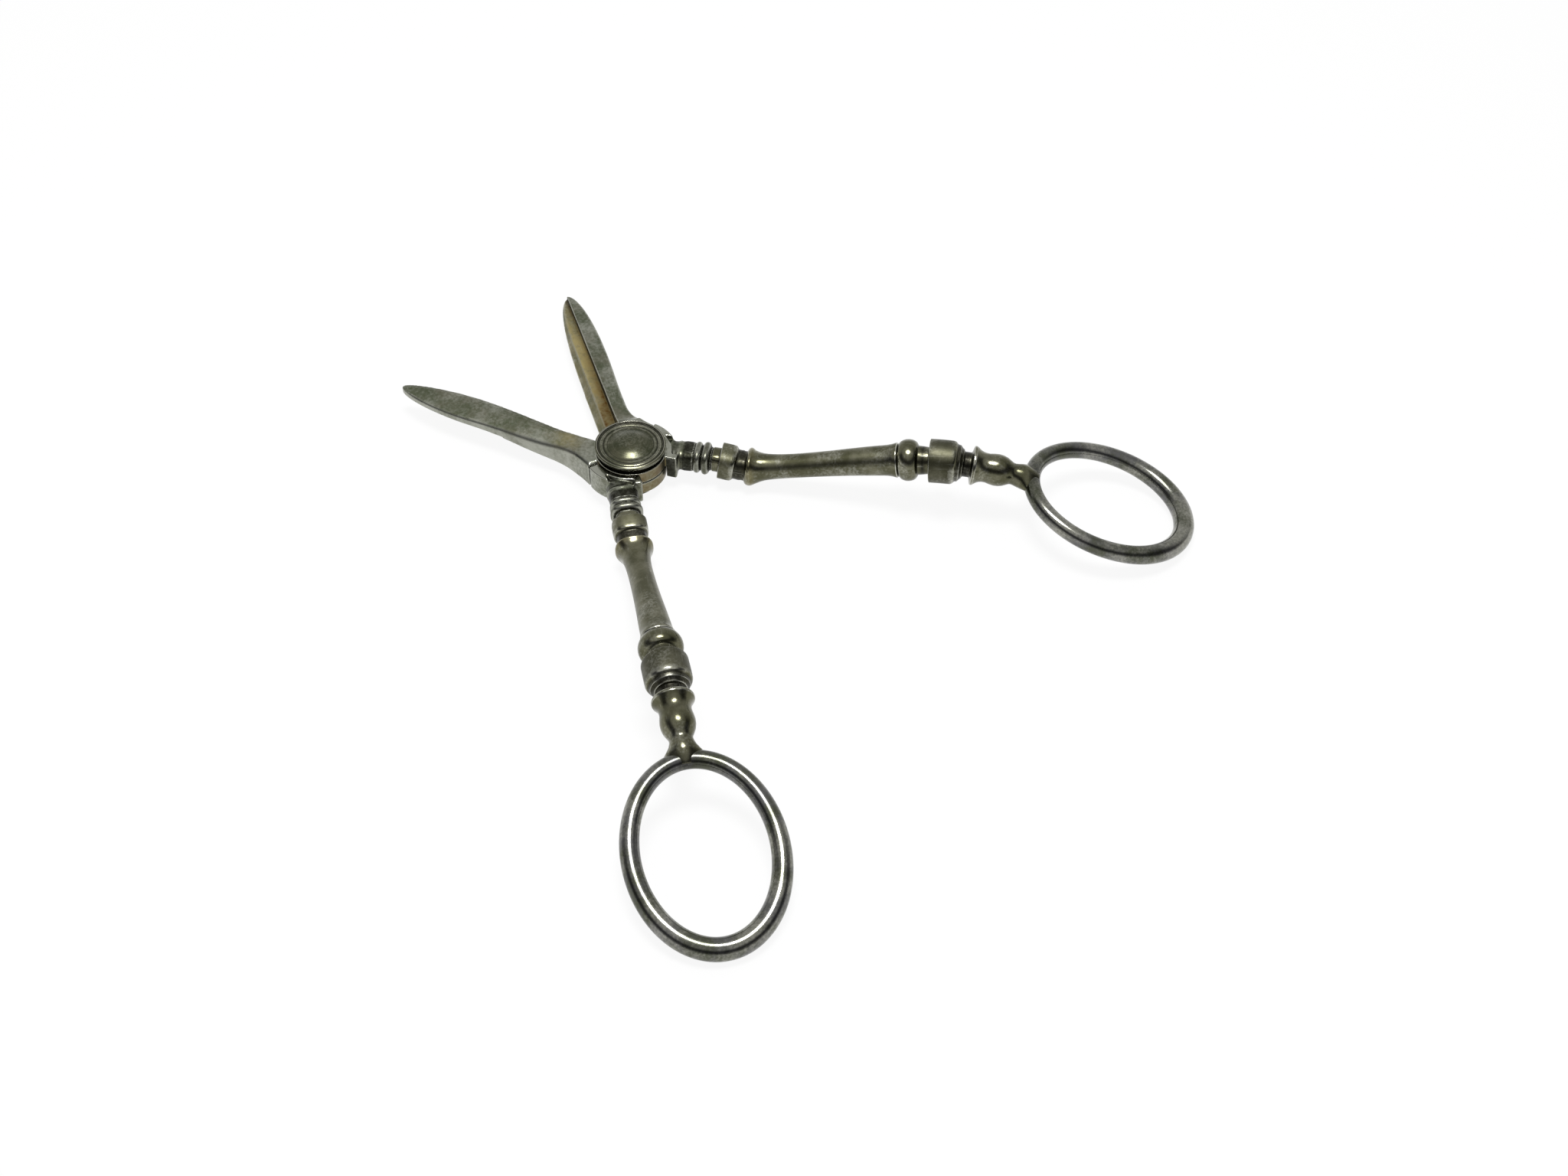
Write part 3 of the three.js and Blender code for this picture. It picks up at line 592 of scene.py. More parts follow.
def scratch_group():
    """Fine scratches that run one way: the place is squeezed along them before it meets the noise."""
    tree, given, out = new_group(
        "scratches",
        {"Place": "Vector", "Squeeze": "Vector", "Fineness": "Float"},
        {"Scratch": "Float", "Grain": "Float"},
    )
    place = add(tree, "VectorMath", {0: given["Place"], 1: given["Squeeze"]}, operation="MULTIPLY").outputs[0]
    lines = noise(tree, place, given["Fineness"], 3.0, 0.6)
    tree.links.new(between(tree, lines, 0.6, 0.72), out["Scratch"])
    tree.links.new(lines, out["Grain"])
    return tree


TARNISH = tarnish_group()
BARE_BRASS = brass_group()
SCRATCHES = scratch_group()


def new_material(name):
    """Metal material, with its nodes and its shader."""
    material = bpy.data.materials.new(name)
    material.use_nodes = True
    tree = material.node_tree
    tree.nodes.clear()
    shader = tree.nodes.new("ShaderNodeBsdfPrincipled")
    shader.inputs["Metallic"].default_value = 1.0
    tree.links.new(shader.outputs[0], tree.nodes.new("ShaderNodeOutputMaterial").inputs[0])
    return material, tree, shader


def noted(tree, name):
    """Number that the mesh keeps under that name, for a material."""
    return add(tree, "Attribute", attribute_name=name).outputs["Fac"]


BLADE_SILVER = (0.36, 0.365, 0.315, 1)
BLADE_FILM = (0.088, 0.1, 0.06, 1)
BLADE_BLOOM = (0.142, 0.14, 0.1, 1)
# Colour of the casting's corners, seams and grooves: dirt and painted shade.
BLADE_DIRT_AND_SHADE = (0.011, 0.0105, 0.0075, 1)
BRASS = (0.48, 0.4, 0.175, 1)
BROWN = (0.085, 0.038, 0.005, 1)
BLADE_PATCHES = 110.0
BLADE_COVER = 0.68
BLADE_FINENESS = 2600.0
BLADE_SQUEEZE = (0.06, 1, 1)
BLADE_SCRATCHED = 0.3
BLADE_SMOOTH = 0.14
BLADE_DULL = 0.22
BLADE_SATIN_ROUGH = 0.14
BLADE_DIRT_ROUGH = 0.2
BLADE_GRAIN_ROUGH = 0.06
BLADE_GRAIN_DEEP = 0.00006
PLATE_BUMP = 0.16


def blade_plate(name, turn):
    """Satin plate on a filed blade: film, fine scratches along the blade and brass where it is rubbed."""
    material, tree, shader = new_material(name)
    place = add(tree, "TexCoord").outputs["Object"]
    lying = add(tree, "VectorRotate", {"Vector": place, "Angle": -turn}, rotation_type="Z_AXIS").outputs[0]
    nook = noted(tree, "nook")
    satin = noted(tree, "satin")
    plate = add(tree, "Group", {
        "Place": place, "Patches": BLADE_PATCHES, "Cover": BLADE_COVER, "Silver": BLADE_SILVER,
        "Film": BLADE_FILM, "Bloom": BLADE_BLOOM, "Dirt And Shade": BLADE_DIRT_AND_SHADE,
        "Edge": noted(tree, "edge"), "Nook": nook,
    }, node_tree=TARNISH).outputs
    worn = add(tree, "Group", {
        "Place": place, "Color": plate["Color"], "Brass": BRASS, "Brown": BROWN,
        "Bare": noted(tree, "brass"), "Stain": noted(tree, "stain"),
    }, node_tree=BARE_BRASS).outputs
    scratch = add(tree, "Group", {
        "Place": lying, "Squeeze": BLADE_SQUEEZE, "Fineness": BLADE_FINENESS,
    }, node_tree=SCRATCHES).outputs
    scratched = times(tree, scratch["Scratch"], BLADE_SCRATCHED)
    tree.links.new(mixed(tree, scratched, worn["Color"], BLADE_SILVER), shader.inputs["Base Color"])
    rough = between(tree, plate["Film Left"], 0.0, 1.0, BLADE_SMOOTH, BLADE_DULL)
    rough = sum_of(tree, rough, times(tree, satin, BLADE_SATIN_ROUGH))
    rough = sum_of(tree, rough, times(tree, nook, BLADE_DIRT_ROUGH))
    rough = sum_of(tree, rough, times(tree, scratch["Grain"], BLADE_GRAIN_ROUGH))
    tree.links.new(rough, shader.inputs["Roughness"])
    height = sum_of(tree, times(tree, scratch["Grain"], 0.5), times(tree, plate["Speck"], 0.5))
    height = times(tree, height, between(tree, satin, 0.0, 1.0, 0.3, 1.0))
    bump = add(tree, "Bump", {"Height": height, "Strength": PLATE_BUMP, "Distance": BLADE_GRAIN_DEEP})
    tree.links.new(bump.outputs[0], shader.inputs["Normal"])
    return material


def show(name, mesh, material, body, slot, *nodes):
    """Puts a finished piece in the scene, on its body, in place of its CAD nodes."""
    mesh.materials.clear()
    mesh.materials.append(material)
    piece = bpy.data.objects.new(name, mesh)
    bpy.context.scene.collection.objects.link(piece)
    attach(piece, body)
    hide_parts(*nodes)


lower_plate = blade_plate("lower_blade_plate", BLADE_LOWER)
show("lower_blade", lower_mesh, lower_plate, "lever_lower", "blade_lower", "blade_lower")

# Upper blade
# The other brass casting, plated and filed like the first. Its blade nests over the lower one when the
# shears shut: a thin bevelled edge shears past the land, and a deep spine drops behind the ledge.
BLADE_UPPER = math.radians(110.2)
UPPER_TIP_T = 54.2
EDGE_T = 39.0
SPINE_WAIST = 4.75
SPINE_BELLY = 4.15
SPINE_EDGE = 0.42
SPINE_DEEP = 3.2
SPINE_FALL = 0.19
SPINE_FALL_FROM = 0.6
SPINE_FALL_SOFT = 1.2
SPINE_END_T = 31.0
EDGE_OVERLAP = 2.3
EDGE_BEVEL = 0.85
EDGE_BEVEL_SLOPE = 0.3
EDGE_SOFT = 0.12
NEST_EDGE = 0.1
LEDGE_CLEAR = 4.25
UPPER_FLOOR_EDGE = 0.2
UPPER_TOP_TIP = MIDDLE + 1.2
UPPER_BLUNT = 0.5

UPPER_LAP_LOW = MIDDLE + RUN_GAP / 2
UPPER_STOP = STEM_LOWER + 2 * math.pi - math.radians(SHOULDER_OUTER + STOP_GAP) - BLADE_UPPER
UPPER_STOP_POINT = (SHOULDER_R * math.cos(UPPER_STOP), SHOULDER_R * math.sin(UPPER_STOP))
UPPER_OUTLINE = np.vstack([
    [(0, RUN_GAP)],
    curve((11.5, RUN_GAP), (21, -0.3), (30, -EDGE_OVERLAP), (EDGE_T, -EDGE_OVERLAP)),
    nose(EDGE_T, -EDGE_OVERLAP, UPPER_TIP_T, RUN_GAP, UPPER_BLUNT),
    nose(BELLY_T, SPINE_BELLY, UPPER_TIP_T, RUN_GAP, UPPER_BLUNT)[::-1],
    eased(BELLY_T, SPINE_BELLY, WAIST_T, SPINE_WAIST),
    curve((WAIST_T, SPINE_WAIST), (FLARE_T, SPINE_WAIST), UPPER_STOP_POINT),
])
SPINE_FLOOR = np.array([
    (SHOULDER_R, DRUM_LOW),
    (SPINE_END_T, ledge_height(SPINE_END_T) + RUN_GAP),
    (TIP_T, ledge_height(TIP_T) + RUN_GAP),
])


def upper_casting(t, n, z):
    """Distance from the upper casting. The blade runs along t, with its spine where n is over nought."""
    below = np.maximum(np.hypot(t, n) - CLEAR_R, z - UPPER_LAP_LOW)
    outline = from_outline(t, n, UPPER_OUTLINE)
    top = np.interp(t, [SHOULDER_R, TIP_T], [DRUM_HIGH, UPPER_TOP_TIP])
    beyond = n - SPINE_FALL_FROM
    top = top - SPINE_FALL * ramp(t, 10, 18) * (beyond + np.hypot(beyond, SPINE_FALL_SOFT)) / 2
    floor = np.interp(t, SPINE_FLOOR[:, 0], SPINE_FLOOR[:, 1])
    outer = ramp(n, 0.8, 2.3)
    soft = EDGE_SOFT + (SPINE_EDGE * np.minimum(top - floor, SPINE_DEEP) - EDGE_SOFT) * outer
    blade = shared(outline, z - top, soft)
    past_waist = ramp(t, 12, 16) * (1 - outer)
    bevel = z - top + EDGE_BEVEL_SLOPE * (outline + EDGE_BEVEL * past_waist)
    bevel = bevel / np.hypot(1, EDGE_BEVEL_SLOPE)
    blade = np.where(past_waist > 0, np.maximum(blade, bevel), blade)
    blade = shared(blade, floor - z, UPPER_FLOOR_EDGE)
    over_ledge = np.maximum(n - LEDGE_CLEAR, z - ledge_height(t) - RUN_GAP)
    over_land = np.maximum(n - RUN_GAP, z - land_top(t) - RUN_GAP)
    blade = shared(blade, -np.minimum(over_ledge, over_land), NEST_EDGE)
    blade = np.maximum(blade, -below)
    drum = drum_half(t, n, z, STEM_UPPER - BLADE_UPPER, 1, UPPER_LAP_LOW, DRUM_HIGH, below)
    return np.maximum(joined(drum, blade, BLADE_FILLET), BORE_R - np.hypot(t, n))


UPPER_LAP_STAIN = 0.85
UPPER_LAP_DIRT = 0.5
ROOT_BRASS = 0.5
ROOT_STAIN = 0.2
FLANK_RUBBED = 0.6


def note_spine_wear(mesh, points, normals):
    """Notes the brass that shows at the blade's root and round the lap disc, and the rubbed spine."""
    t, n, _ = points.T
    rim = lap_rim(points, normals)
    root = np.exp(-((t - 13.5) / 3.0) ** 2 - ((n - 2.2) / 2.0) ** 2) * (normals[:, 2] > 0.5)
    flank = ramp(normals[:, 1], 0.35, 0.75) * ramp(t, 9, 12)
    note(mesh, "brass", np.maximum(LAP_BRASS * rim, ROOT_BRASS * root))
    note(mesh, "stain", np.maximum(UPPER_LAP_STAIN * rim, ROOT_STAIN * root))
    note(mesh, "edge", np.maximum(noted_on(mesh, "edge"), FLANK_RUBBED * flank))
    note(mesh, "nook", np.maximum(noted_on(mesh, "nook"), UPPER_LAP_DIRT * rim))


upper_mesh, points, normals = cast(
    "upper_blade", upper_casting, UPPER_TIP_T, BLADE_UPPER, STEM_UPPER - BLADE_UPPER
)
note_spine_wear(upper_mesh, points, normals)
upper_plate = blade_plate("upper_blade_plate", BLADE_UPPER)
show("upper_blade", upper_mesh, upper_plate, "lever_upper", "blade_upper", "blade_upper")

# Stems
# Each handle is turned brass, silver plated and bent to a low arch: a plain band, a bulb, a slim waisted
# shaft, a collar, a wide band, a thin disc and a vase that spreads to a brazed foot on the finger bow.
# A tenon holds it in the neck of the casting.
SEAT_GAP = 0.1
STEM_START = NECK_END + SEAT_GAP
BAND_SQUARE = 2.6
BAND_TALL = 0.96
BAND_R = 3.55
BAND_START = 18.1
BAND_RIM = 20.7
BAND_END = 21.1
BULB_AT = 24.7
BULB_END = 28.2
WIDE_R = 4.45
WIDE_START = 61.3
WIDE_RIM = 65.9
WIDE_END = 66.4
SEAT = 82.3
FOOT_START = 79.4
FOOT_END = 83.5
FOOT_SPREAD = 0.95
FOOT_TALL = 0.95
STEM_ROUND = 72
STEM_SOFT = 0.13
STEM_BEND = 11

# Each lever has the side that its stem lies to and the turn of its stem.
LEVERS = {"upper": (1, STEM_UPPER), "lower": (-1, STEM_LOWER)}
# The stem's middle line passes these stations with these rises over the drum's middle and these slopes.
ARCH_AT = np.array([STEM_START, 25.65, 66.2, SEAT])
ARCH_RISE = np.array([0.0, -0.8, 7.0, 5.0])
ARCH_SLOPE = np.array([0.0, 0.16, 0.0, -0.24])


def arch(station):
    """Height of the stem's middle line over the table, and how far it leans there."""
    i = np.clip(np.searchsorted(ARCH_AT, station) - 1, 0, len(ARCH_AT) - 2)
    span = ARCH_AT[i + 1] - ARCH_AT[i]
    u = ramp(station, ARCH_AT[i], ARCH_AT[i + 1])
    start, end = ARCH_RISE[i], ARCH_RISE[i + 1]
    out, back = span * ARCH_SLOPE[i], span * ARCH_SLOPE[i + 1]
    squared = 3 * (end - start) - 2 * out - back
    cubed = 2 * (start - end) + out + back
    rise = start + u * out + u ** 2 * squared + u ** 3 * cubed
    slope = out + 2 * u * squared + 3 * u ** 2 * cubed
    return MIDDLE + rise, np.arctan(slope / span)


def swell(from_r, from_s, peak_r, to_r, to_s):
    """Turned bulge whose middle reaches the peak."""
    pull = (8 * peak_r - from_r - to_r) / 6
    third = (to_s - from_s) / 3
    return curve((from_r, from_s), (pull, from_s + third), (pull, to_s - third), (to_r, to_s))


def bead(groove_r, peak_r, from_s, to_s):
    """Half-round ring that stands on a groove."""
    turn = np.linspace(-math.pi / 2, math.pi / 2, CURVE_STEPS + 1)
    middle, half = (from_s + to_s) / 2, (to_s - from_s) / 2
    return np.stack([groove_r + (peak_r - groove_r) * np.cos(turn), middle + half * np.sin(turn)], axis=1)


LONGEST_STEP = 0.9


def softened(profile, soft, bend):
    """Profile of radius and station with its corners rounded, and a point for each bend of those degrees."""
    profile = np.asarray(profile, float)
    length = np.concatenate([[0], np.cumsum(np.hypot(*np.diff(profile, axis=0).T))])
    step = soft / 3
    even = np.arange(0, length[-1], step)
    dense = [np.interp(even, length, values) for values in profile.T]
    smooth = np.stack([blurred(values, spread=3, reach=12) for values in dense], axis=1)
    smooth[0], smooth[-1] = profile[0], profile[-1]
    heading = np.unwrap(np.arctan2(*np.gradient(smooth, axis=0).T))
    kept = [0]
    for i in range(1, len(smooth) - 1):
        turned = abs(heading[i] - heading[kept[-1]])
        if turned > math.radians(bend) or (i - kept[-1]) * step > LONGEST_STEP:
            kept.append(i)
    return smooth[kept + [len(smooth) - 1]]


STEM_PROFILE = softened(np.vstack([
    [(0, STEM_START), (GROOVE_R, STEM_START), (GROOVE_R, BAND_START)],
    [(BAND_R, BAND_START), (BAND_R, BAND_RIM), (3.42, BAND_END)],
    [(2.95, 21.4), (2.95, 22.2), (3.02, 22.35), (3.02, 22.6), (2.9, 22.8), (2.95, 23.5)],
    curve((3.1, 23.6), (3.7, 23.7), (4.0, 24.4), (3.78, 24.9)),
    curve((3.78, 24.9), (3.42, 25.5), (2.95, 26.4), (2.72, BULB_END)),
    curve((2.72, BULB_END), (2.55, 29.6), (2.5, 31.2), (2.5, 33.3)),
    curve((2.5, 33.3), (2.5, 41.5), (3.0, 48.0), (3.1, 52.0)),
    curve((3.1, 52.0), (3.15, 53.0), (3.3, 54.0), (3.6, 54.6)),
    [(3.6, 54.9), (3.4, 55.05)],
    bead(3.0, 4.3, 55.1, 59.0),
    [(2.75, WIDE_START), (WIDE_R, WIDE_START), (WIDE_R, WIDE_RIM), (4.25, WIDE_END), (3.8, 66.7)],
    [(3.75, 67.0), (3.75, 67.3), (3.1, 67.75), (3.1, 68.0)],
    [(2.55, 68.2), (2.55, 69.6), (4.0, 69.95), (4.0, 70.5)],
    curve((4.0, 70.5), (3.1, 71.4), (2.9, 72.2), (3.0, 73.3)),
    swell(3.0, 73.3, 3.25, 2.4, 77.7),
    curve((2.4, 77.7), (2.15, 78.1), (2.15, 78.5), (2.25, 78.9)),
    curve((2.25, 78.9), (2.5, 79.6), (2.6, 80.6), (2.45, 81.2)),
    curve((2.45, 81.2), (2.3, 81.8), (1.95, SEAT + 0.6), (1.3, FOOT_END)),
]), STEM_SOFT, STEM_BEND)


def turned_notes(profile):
    """How far each turn of a profile stands out as an edge, and how far it folds in."""
    r, s = profile.T
    heading = np.unwrap(np.arctan2(np.gradient(r), np.gradient(s)))
    bend = -np.gradient(heading) / np.maximum(np.hypot(np.gradient(r), np.gradient(s)), 0.02)
    return ramp(bend, 0.5, 2.7), ramp(-bend, 0.2, 2.2)


def note_rows(mesh, name, values, around):
    """Keeps a number for each row of a turned skin."""
    note(mesh, name, np.repeat(values, around))


def lathe(rows, around, closed_ring=False):
    """Faces of a turned skin. The last row of a closed ring meets its first; others have flat ends."""
    index = np.arange(rows * around).reshape(rows, around)
    ends = [] if closed_ring else [index[0][::-1].tolist(), index[-1].tolist()]
    if closed_ring:
        index = np.vstack([index, index[:1]])
    beside = np.roll(index, -1, axis=1)
    sides = np.stack([index[:-1], beside[:-1], beside[1:], index[1:]], axis=-1)
    return sides.reshape(-1, 4).tolist() + ends


GROOVE_REACH = 1.9
BAND_RIM_RUBBED = 0.35
# Folds, grooves, the cove and the taper past the wide band are darkened with dirt and painted shade; the wide
# band and the braze carry dirt only.
FOLD_DIRT_AND_SHADE = 0.7
GROOVE_DIRT_AND_SHADE = 0.95
COVE_DIRT_AND_SHADE = 0.85
WIDE_BAND_DIRT = 0.42
PAST_BAND_DIRT_AND_SHADE = 0.8
BRAZE_DIRT = 0.4
WIDE_BAND_SATIN = 0.6
SHAFT_SATIN = 0.45
BULB_BRASS = 0.2


def note_stem_wear_and_shade(mesh):
    """Notes the rubbed rims, dirt and painted shade in the grooves and the cove, satin bands and shaft, and
    the worn bulb of a stem.
    """
    r, s = STEM_PROFILE[1:].T
    edge, fold = turned_notes(STEM_PROFILE[1:])
    before = np.array([r[(s > here - GROOVE_REACH) & (s <= here)].max() for here in s])
    after = np.array([r[(s < here + GROOVE_REACH) & (s >= here)].max() for here in s])
    groove = ramp(np.minimum(before, after) - r, 0.15, 0.75)
    band = within(s, BAND_START - 0.1, BAND_RIM) & (r > BAND_R - 0.25)
    band_rim = within(s, BAND_RIM - 0.05, BAND_END + 0.05) & (r > BAND_R - 0.25)
    cove = within(s, 21.3, 23.55)
    bulb = np.exp(-((s - BULB_AT) / 0.9) ** 2)
    shaft = ramp(s, 27, 29) * ramp(s, 54, 52)
    wide_band = within(s, WIDE_START - 0.1, WIDE_RIM + 0.05) & (r > 3.3)
    wide_rim = within(s, WIDE_RIM - 0.05, WIDE_END + 0.05) & (r > WIDE_R - 0.3)
    past_band = within(s, 66.5, 68.3)
    braze = ramp(s, SEAT - 0.6, SEAT - 0.1)
    rubbed = np.maximum(edge * (s < SEAT - 0.5), BAND_RIM_RUBBED * (band_rim | wide_rim))
    stem_dirt_and_shade = np.maximum.reduce([
        FOLD_DIRT_AND_SHADE * fold, GROOVE_DIRT_AND_SHADE * groove, COVE_DIRT_AND_SHADE * cove, WIDE_BAND_DIRT * wide_band,
        PAST_BAND_DIRT_AND_SHADE * past_band, BRAZE_DIRT * braze,
    ])
    satin = np.maximum.reduce([band, WIDE_BAND_SATIN * wide_band, SHAFT_SATIN * shaft])
    note_rows(mesh, "edge", rubbed, STEM_ROUND)
    note_rows(mesh, "nook", stem_dirt_and_shade, STEM_ROUND)
    note_rows(mesh, "satin", satin, STEM_ROUND)
    note_rows(mesh, "brass", BULB_BRASS * bulb, STEM_ROUND)


def stem_mesh(lever):
    """Turned skin along the arched line of a stem, in metres."""
    side, turn = LEVERS[lever]
    radius, station = STEM_PROFILE[1:].T[..., None]
    theta = np.linspace(0, 2 * math.pi, STEM_ROUND, endpoint=False)
    c, s = np.cos(theta), np.sin(theta)
    roundness = ramp(station, BAND_END, BULB_END)
    roundness = roundness ** 2 * (3 - 2 * roundness)
    power = BAND_SQUARE + (2 - BAND_SQUARE) * roundness
    corner = (np.abs(c) ** power + np.abs(s) ** power) ** (-1 / power)
    foot = ramp(station, FOOT_START, SEAT)
    tall = (BAND_TALL + (1 - BAND_TALL) * roundness) * (1 - (1 - FOOT_TALL) * foot)
    across = radius * s * corner * (1 + FOOT_SPREAD * foot ** 1.5 * np.abs(s) ** 4)
    rise = radius * c * corner * tall
    height, lean = arch(station)
    along = station - rise * np.sin(lean)
    points = np.stack([along, side * STEM_OFFSET + across, height + rise * np.cos(lean)], axis=-1)
    faces = lathe(len(STEM_PROFILE) - 1, STEM_ROUND)
    mesh = new_mesh(lever + "_stem", swung(points.reshape(-1, 3), turn) * MM, faces)
    mesh.shade_smooth()
    lay = np.stack(np.broadcast_arrays(station, across, rise), axis=-1)
    note(mesh, "lay", lay.reshape(-1, 3) * MM)
    note_stem_wear_and_shade(mesh)
    return mesh


# Colour of the grooves and folds of turned pieces: dirt and painted shade.
TURNED_DIRT_AND_SHADE = (0.016, 0.015, 0.013, 1)
TURNED_PATCHES = 150.0
TURNED_FINENESS = 1700.0
TURNED_SQUEEZE = (0.05, 1, 1)
TURNED_SCRATCHED = 0.2
TURNED_SATIN_ROUGH = 0.32
TURNED_DIRT_ROUGH = 0.16
TURNED_GRAIN_DEEP = 0.00008


def turned_plate(name, silver, film, bloom, cover, smooth, dull):
    """Plate on turned brass: film, rubbed high spots, dirt and painted shade in the grooves, satin bands and
    fine wear lines.
    """
    material, tree, shader = new_material(name)
    place = add(tree, "TexCoord").outputs["Object"]
    lay = add(tree, "Attribute", attribute_name="lay").outputs["Vector"]
    edge = noted(tree, "edge")
    nook = noted(tree, "nook")
    satin = noted(tree, "satin")
    plate = add(tree, "Group", {
        "Place": place, "Patches": TURNED_PATCHES, "Cover": cover, "Silver": silver, "Film": film,
        "Bloom": bloom, "Dirt And Shade": TURNED_DIRT_AND_SHADE, "Edge": edge, "Nook": nook,
    }, node_tree=TARNISH).outputs
    worn = add(tree, "Group", {
        "Place": place, "Color": plate["Color"], "Brass": BRASS, "Brown": BROWN,
        "Bare": noted(tree, "brass"), "Stain": 0.0,
    }, node_tree=BARE_BRASS).outputs
    scratch = add(tree, "Group", {
        "Place": lay, "Squeeze": TURNED_SQUEEZE, "Fineness": TURNED_FINENESS,
    }, node_tree=SCRATCHES).outputs
    scratched = times(tree, scratch["Scratch"], TURNED_SCRATCHED)
    tree.links.new(mixed(tree, scratched, worn["Color"], silver), shader.inputs["Base Color"])
    rough = between(tree, plate["Film Left"], 0.0, 1.0, smooth, dull)
    unrubbed = between(tree, edge, 0.0, 0.6, 1.0, 0.0)
    rough = sum_of(tree, rough, times(tree, times(tree, satin, unrubbed), TURNED_SATIN_ROUGH))
    rough = sum_of(tree, rough, times(tree, nook, TURNED_DIRT_ROUGH))
    tree.links.new(rough, shader.inputs["Roughness"])
    height = times(tree, plate["Speck"], between(tree, satin, 0.0, 1.0, 0.2, 1.0))
    height = sum_of(tree, height, times(tree, scratch["Grain"], 0.4))
    bump = add(tree, "Bump", {"Height": height, "Strength": PLATE_BUMP, "Distance": TURNED_GRAIN_DEEP})
    tree.links.new(bump.outputs[0], shader.inputs["Normal"])
    return material


STEM_SILVER = (0.5, 0.5, 0.44, 1)
STEM_FILM = (0.088, 0.087, 0.051, 1)
STEM_BLOOM = (0.162, 0.158, 0.108, 1)
stem_plate = turned_plate(
    "stem_plate", STEM_SILVER, STEM_FILM, STEM_BLOOM, cover=0.98, smooth=0.12, dull=0.19
)
for lever in LEVERS:
    show(lever + "_stem", stem_mesh(lever), stem_plate, "lever_" + lever, "stem_" + lever, "stem_" + lever)

# Finger bows
# Each bow is a round brass wire bent to an oval, thicker at its far end, brazed to the foot of the stem
# and silver plated. Fingers keep it the brightest part of the shears.
BOW_HALF_LENGTHS = {"upper": 16.65, "lower": 17.35}
BOW_HALF_WIDTHS = {"upper": 13.9, "lower": 12.9}
BOW_WIRE_R = 1.7
BOW_FAR_R = 2.1
BOW_SKEW = math.radians(1.85)
BOW_STEPS = 180
WIRE_STEPS = 28
BOW_SIDE_SATIN = 0.12
# The bow is darker close to its joint with the stem.
JOINT_DARKENING = 0.55
JOINT_SPREAD = 0.22


def bow_mesh(lever):
    """Wire round an oval that falls from the stem's foot to the table, in metres."""
    side, turn = LEVERS[lever]
    half_length, half_width = BOW_HALF_LENGTHS[lever], BOW_HALF_WIDTHS[lever]
    seat_height = arch(np.array([SEAT]))[0][0]
    fall = math.asin((seat_height - BOW_FAR_R) / (2 * half_length))
    askew = np.array(Matrix.Rotation(BOW_SKEW, 3, "Z"))
    along = askew @ (-math.cos(fall), 0, math.sin(fall))
    across = askew @ (0, -1, 0)
    up = askew @ (math.sin(fall), 0, math.cos(fall))
    centre = np.array([SEAT, side * STEM_OFFSET, seat_height]) - along * half_length
    ring = np.linspace(0, 2 * math.pi, BOW_STEPS, endpoint=False)[:, None, None]
    wire = np.linspace(0, 2 * math.pi, WIRE_STEPS, endpoint=False)[None, :, None]
    c, s = np.cos(ring), np.sin(ring)
    thick = BOW_WIRE_R + (BOW_FAR_R - BOW_WIRE_R) * ((1 - c) / 2) ** 2
    lean = np.hypot(c / half_length, s / half_width)
    out_along, out_across = c / half_length / lean, s / half_width / lean
    out = thick * np.cos(wire)
    points = (
        centre
        + along * (half_length * c + out * out_along)
        + across * (half_width * s + out * out_across)
        + up * thick * np.sin(wire)
    ).reshape(-1, 3)
    index = np.arange(BOW_STEPS * WIRE_STEPS).reshape(BOW_STEPS, WIRE_STEPS)
    onward, beside = np.roll(index, -1, axis=0), np.roll(index, -1, axis=1)
    faces = np.stack([index, onward, np.roll(onward, -1, axis=1), beside], axis=-1).reshape(-1, 4)
    mesh = new_mesh(lever + "_bow", swung(points, turn) * MM, faces)
    mesh.shade_smooth()
    lay = np.broadcast_arrays(ring * half_length, out, thick * np.sin(wire))
    note(mesh, "lay", np.concatenate(lay, axis=-1).reshape(-1, 3) * MM)
    from_joint = (ring.ravel() + math.pi) % (2 * math.pi) - math.pi
    note_rows(mesh, "nook", JOINT_DARKENING * np.exp(-(from_joint / JOINT_SPREAD) ** 2), WIRE_STEPS)
    note_rows(mesh, "satin", BOW_SIDE_SATIN * np.sin(ring.ravel()) ** 2, WIRE_STEPS)
    return mesh


BOW_SILVER = (0.36, 0.355, 0.315, 1)
BOW_FILM = (0.088, 0.093, 0.067, 1)
BOW_BLOOM = (0.128, 0.128, 0.128, 1)
bow_plate = turned_plate(
    "bow_plate", BOW_SILVER, BOW_FILM, BOW_BLOOM, cover=0.72, smooth=0.11, dull=0.18
)
for lever in LEVERS:
    show(lever + "_bow", bow_mesh(lever), bow_plate, "lever_" + lever, "bow_" + lever, "bow_" + lever)

# Washers
# Two thin turned brass discs, blackened by wear, that keep the screw head and the nut off the turning
# drum. The shank of the screw holds them in place.
SHANK_R = 2.2
HEAD_WASHER_R = 6.2
HEAD_WASHER_LOW = DRUM_HIGH + SEAT_GAP
HEAD_WASHER_T = 0.6
REAR_WASHER_R = 6.4
REAR_WASHER_T = 0.5
REAR_WASHER_LOW = DRUM_LOW - SEAT_GAP - REAR_WASHER_T
WASHER_SOFT = 0.05
DISC_ROUND = 128
DISC_BEND = 5


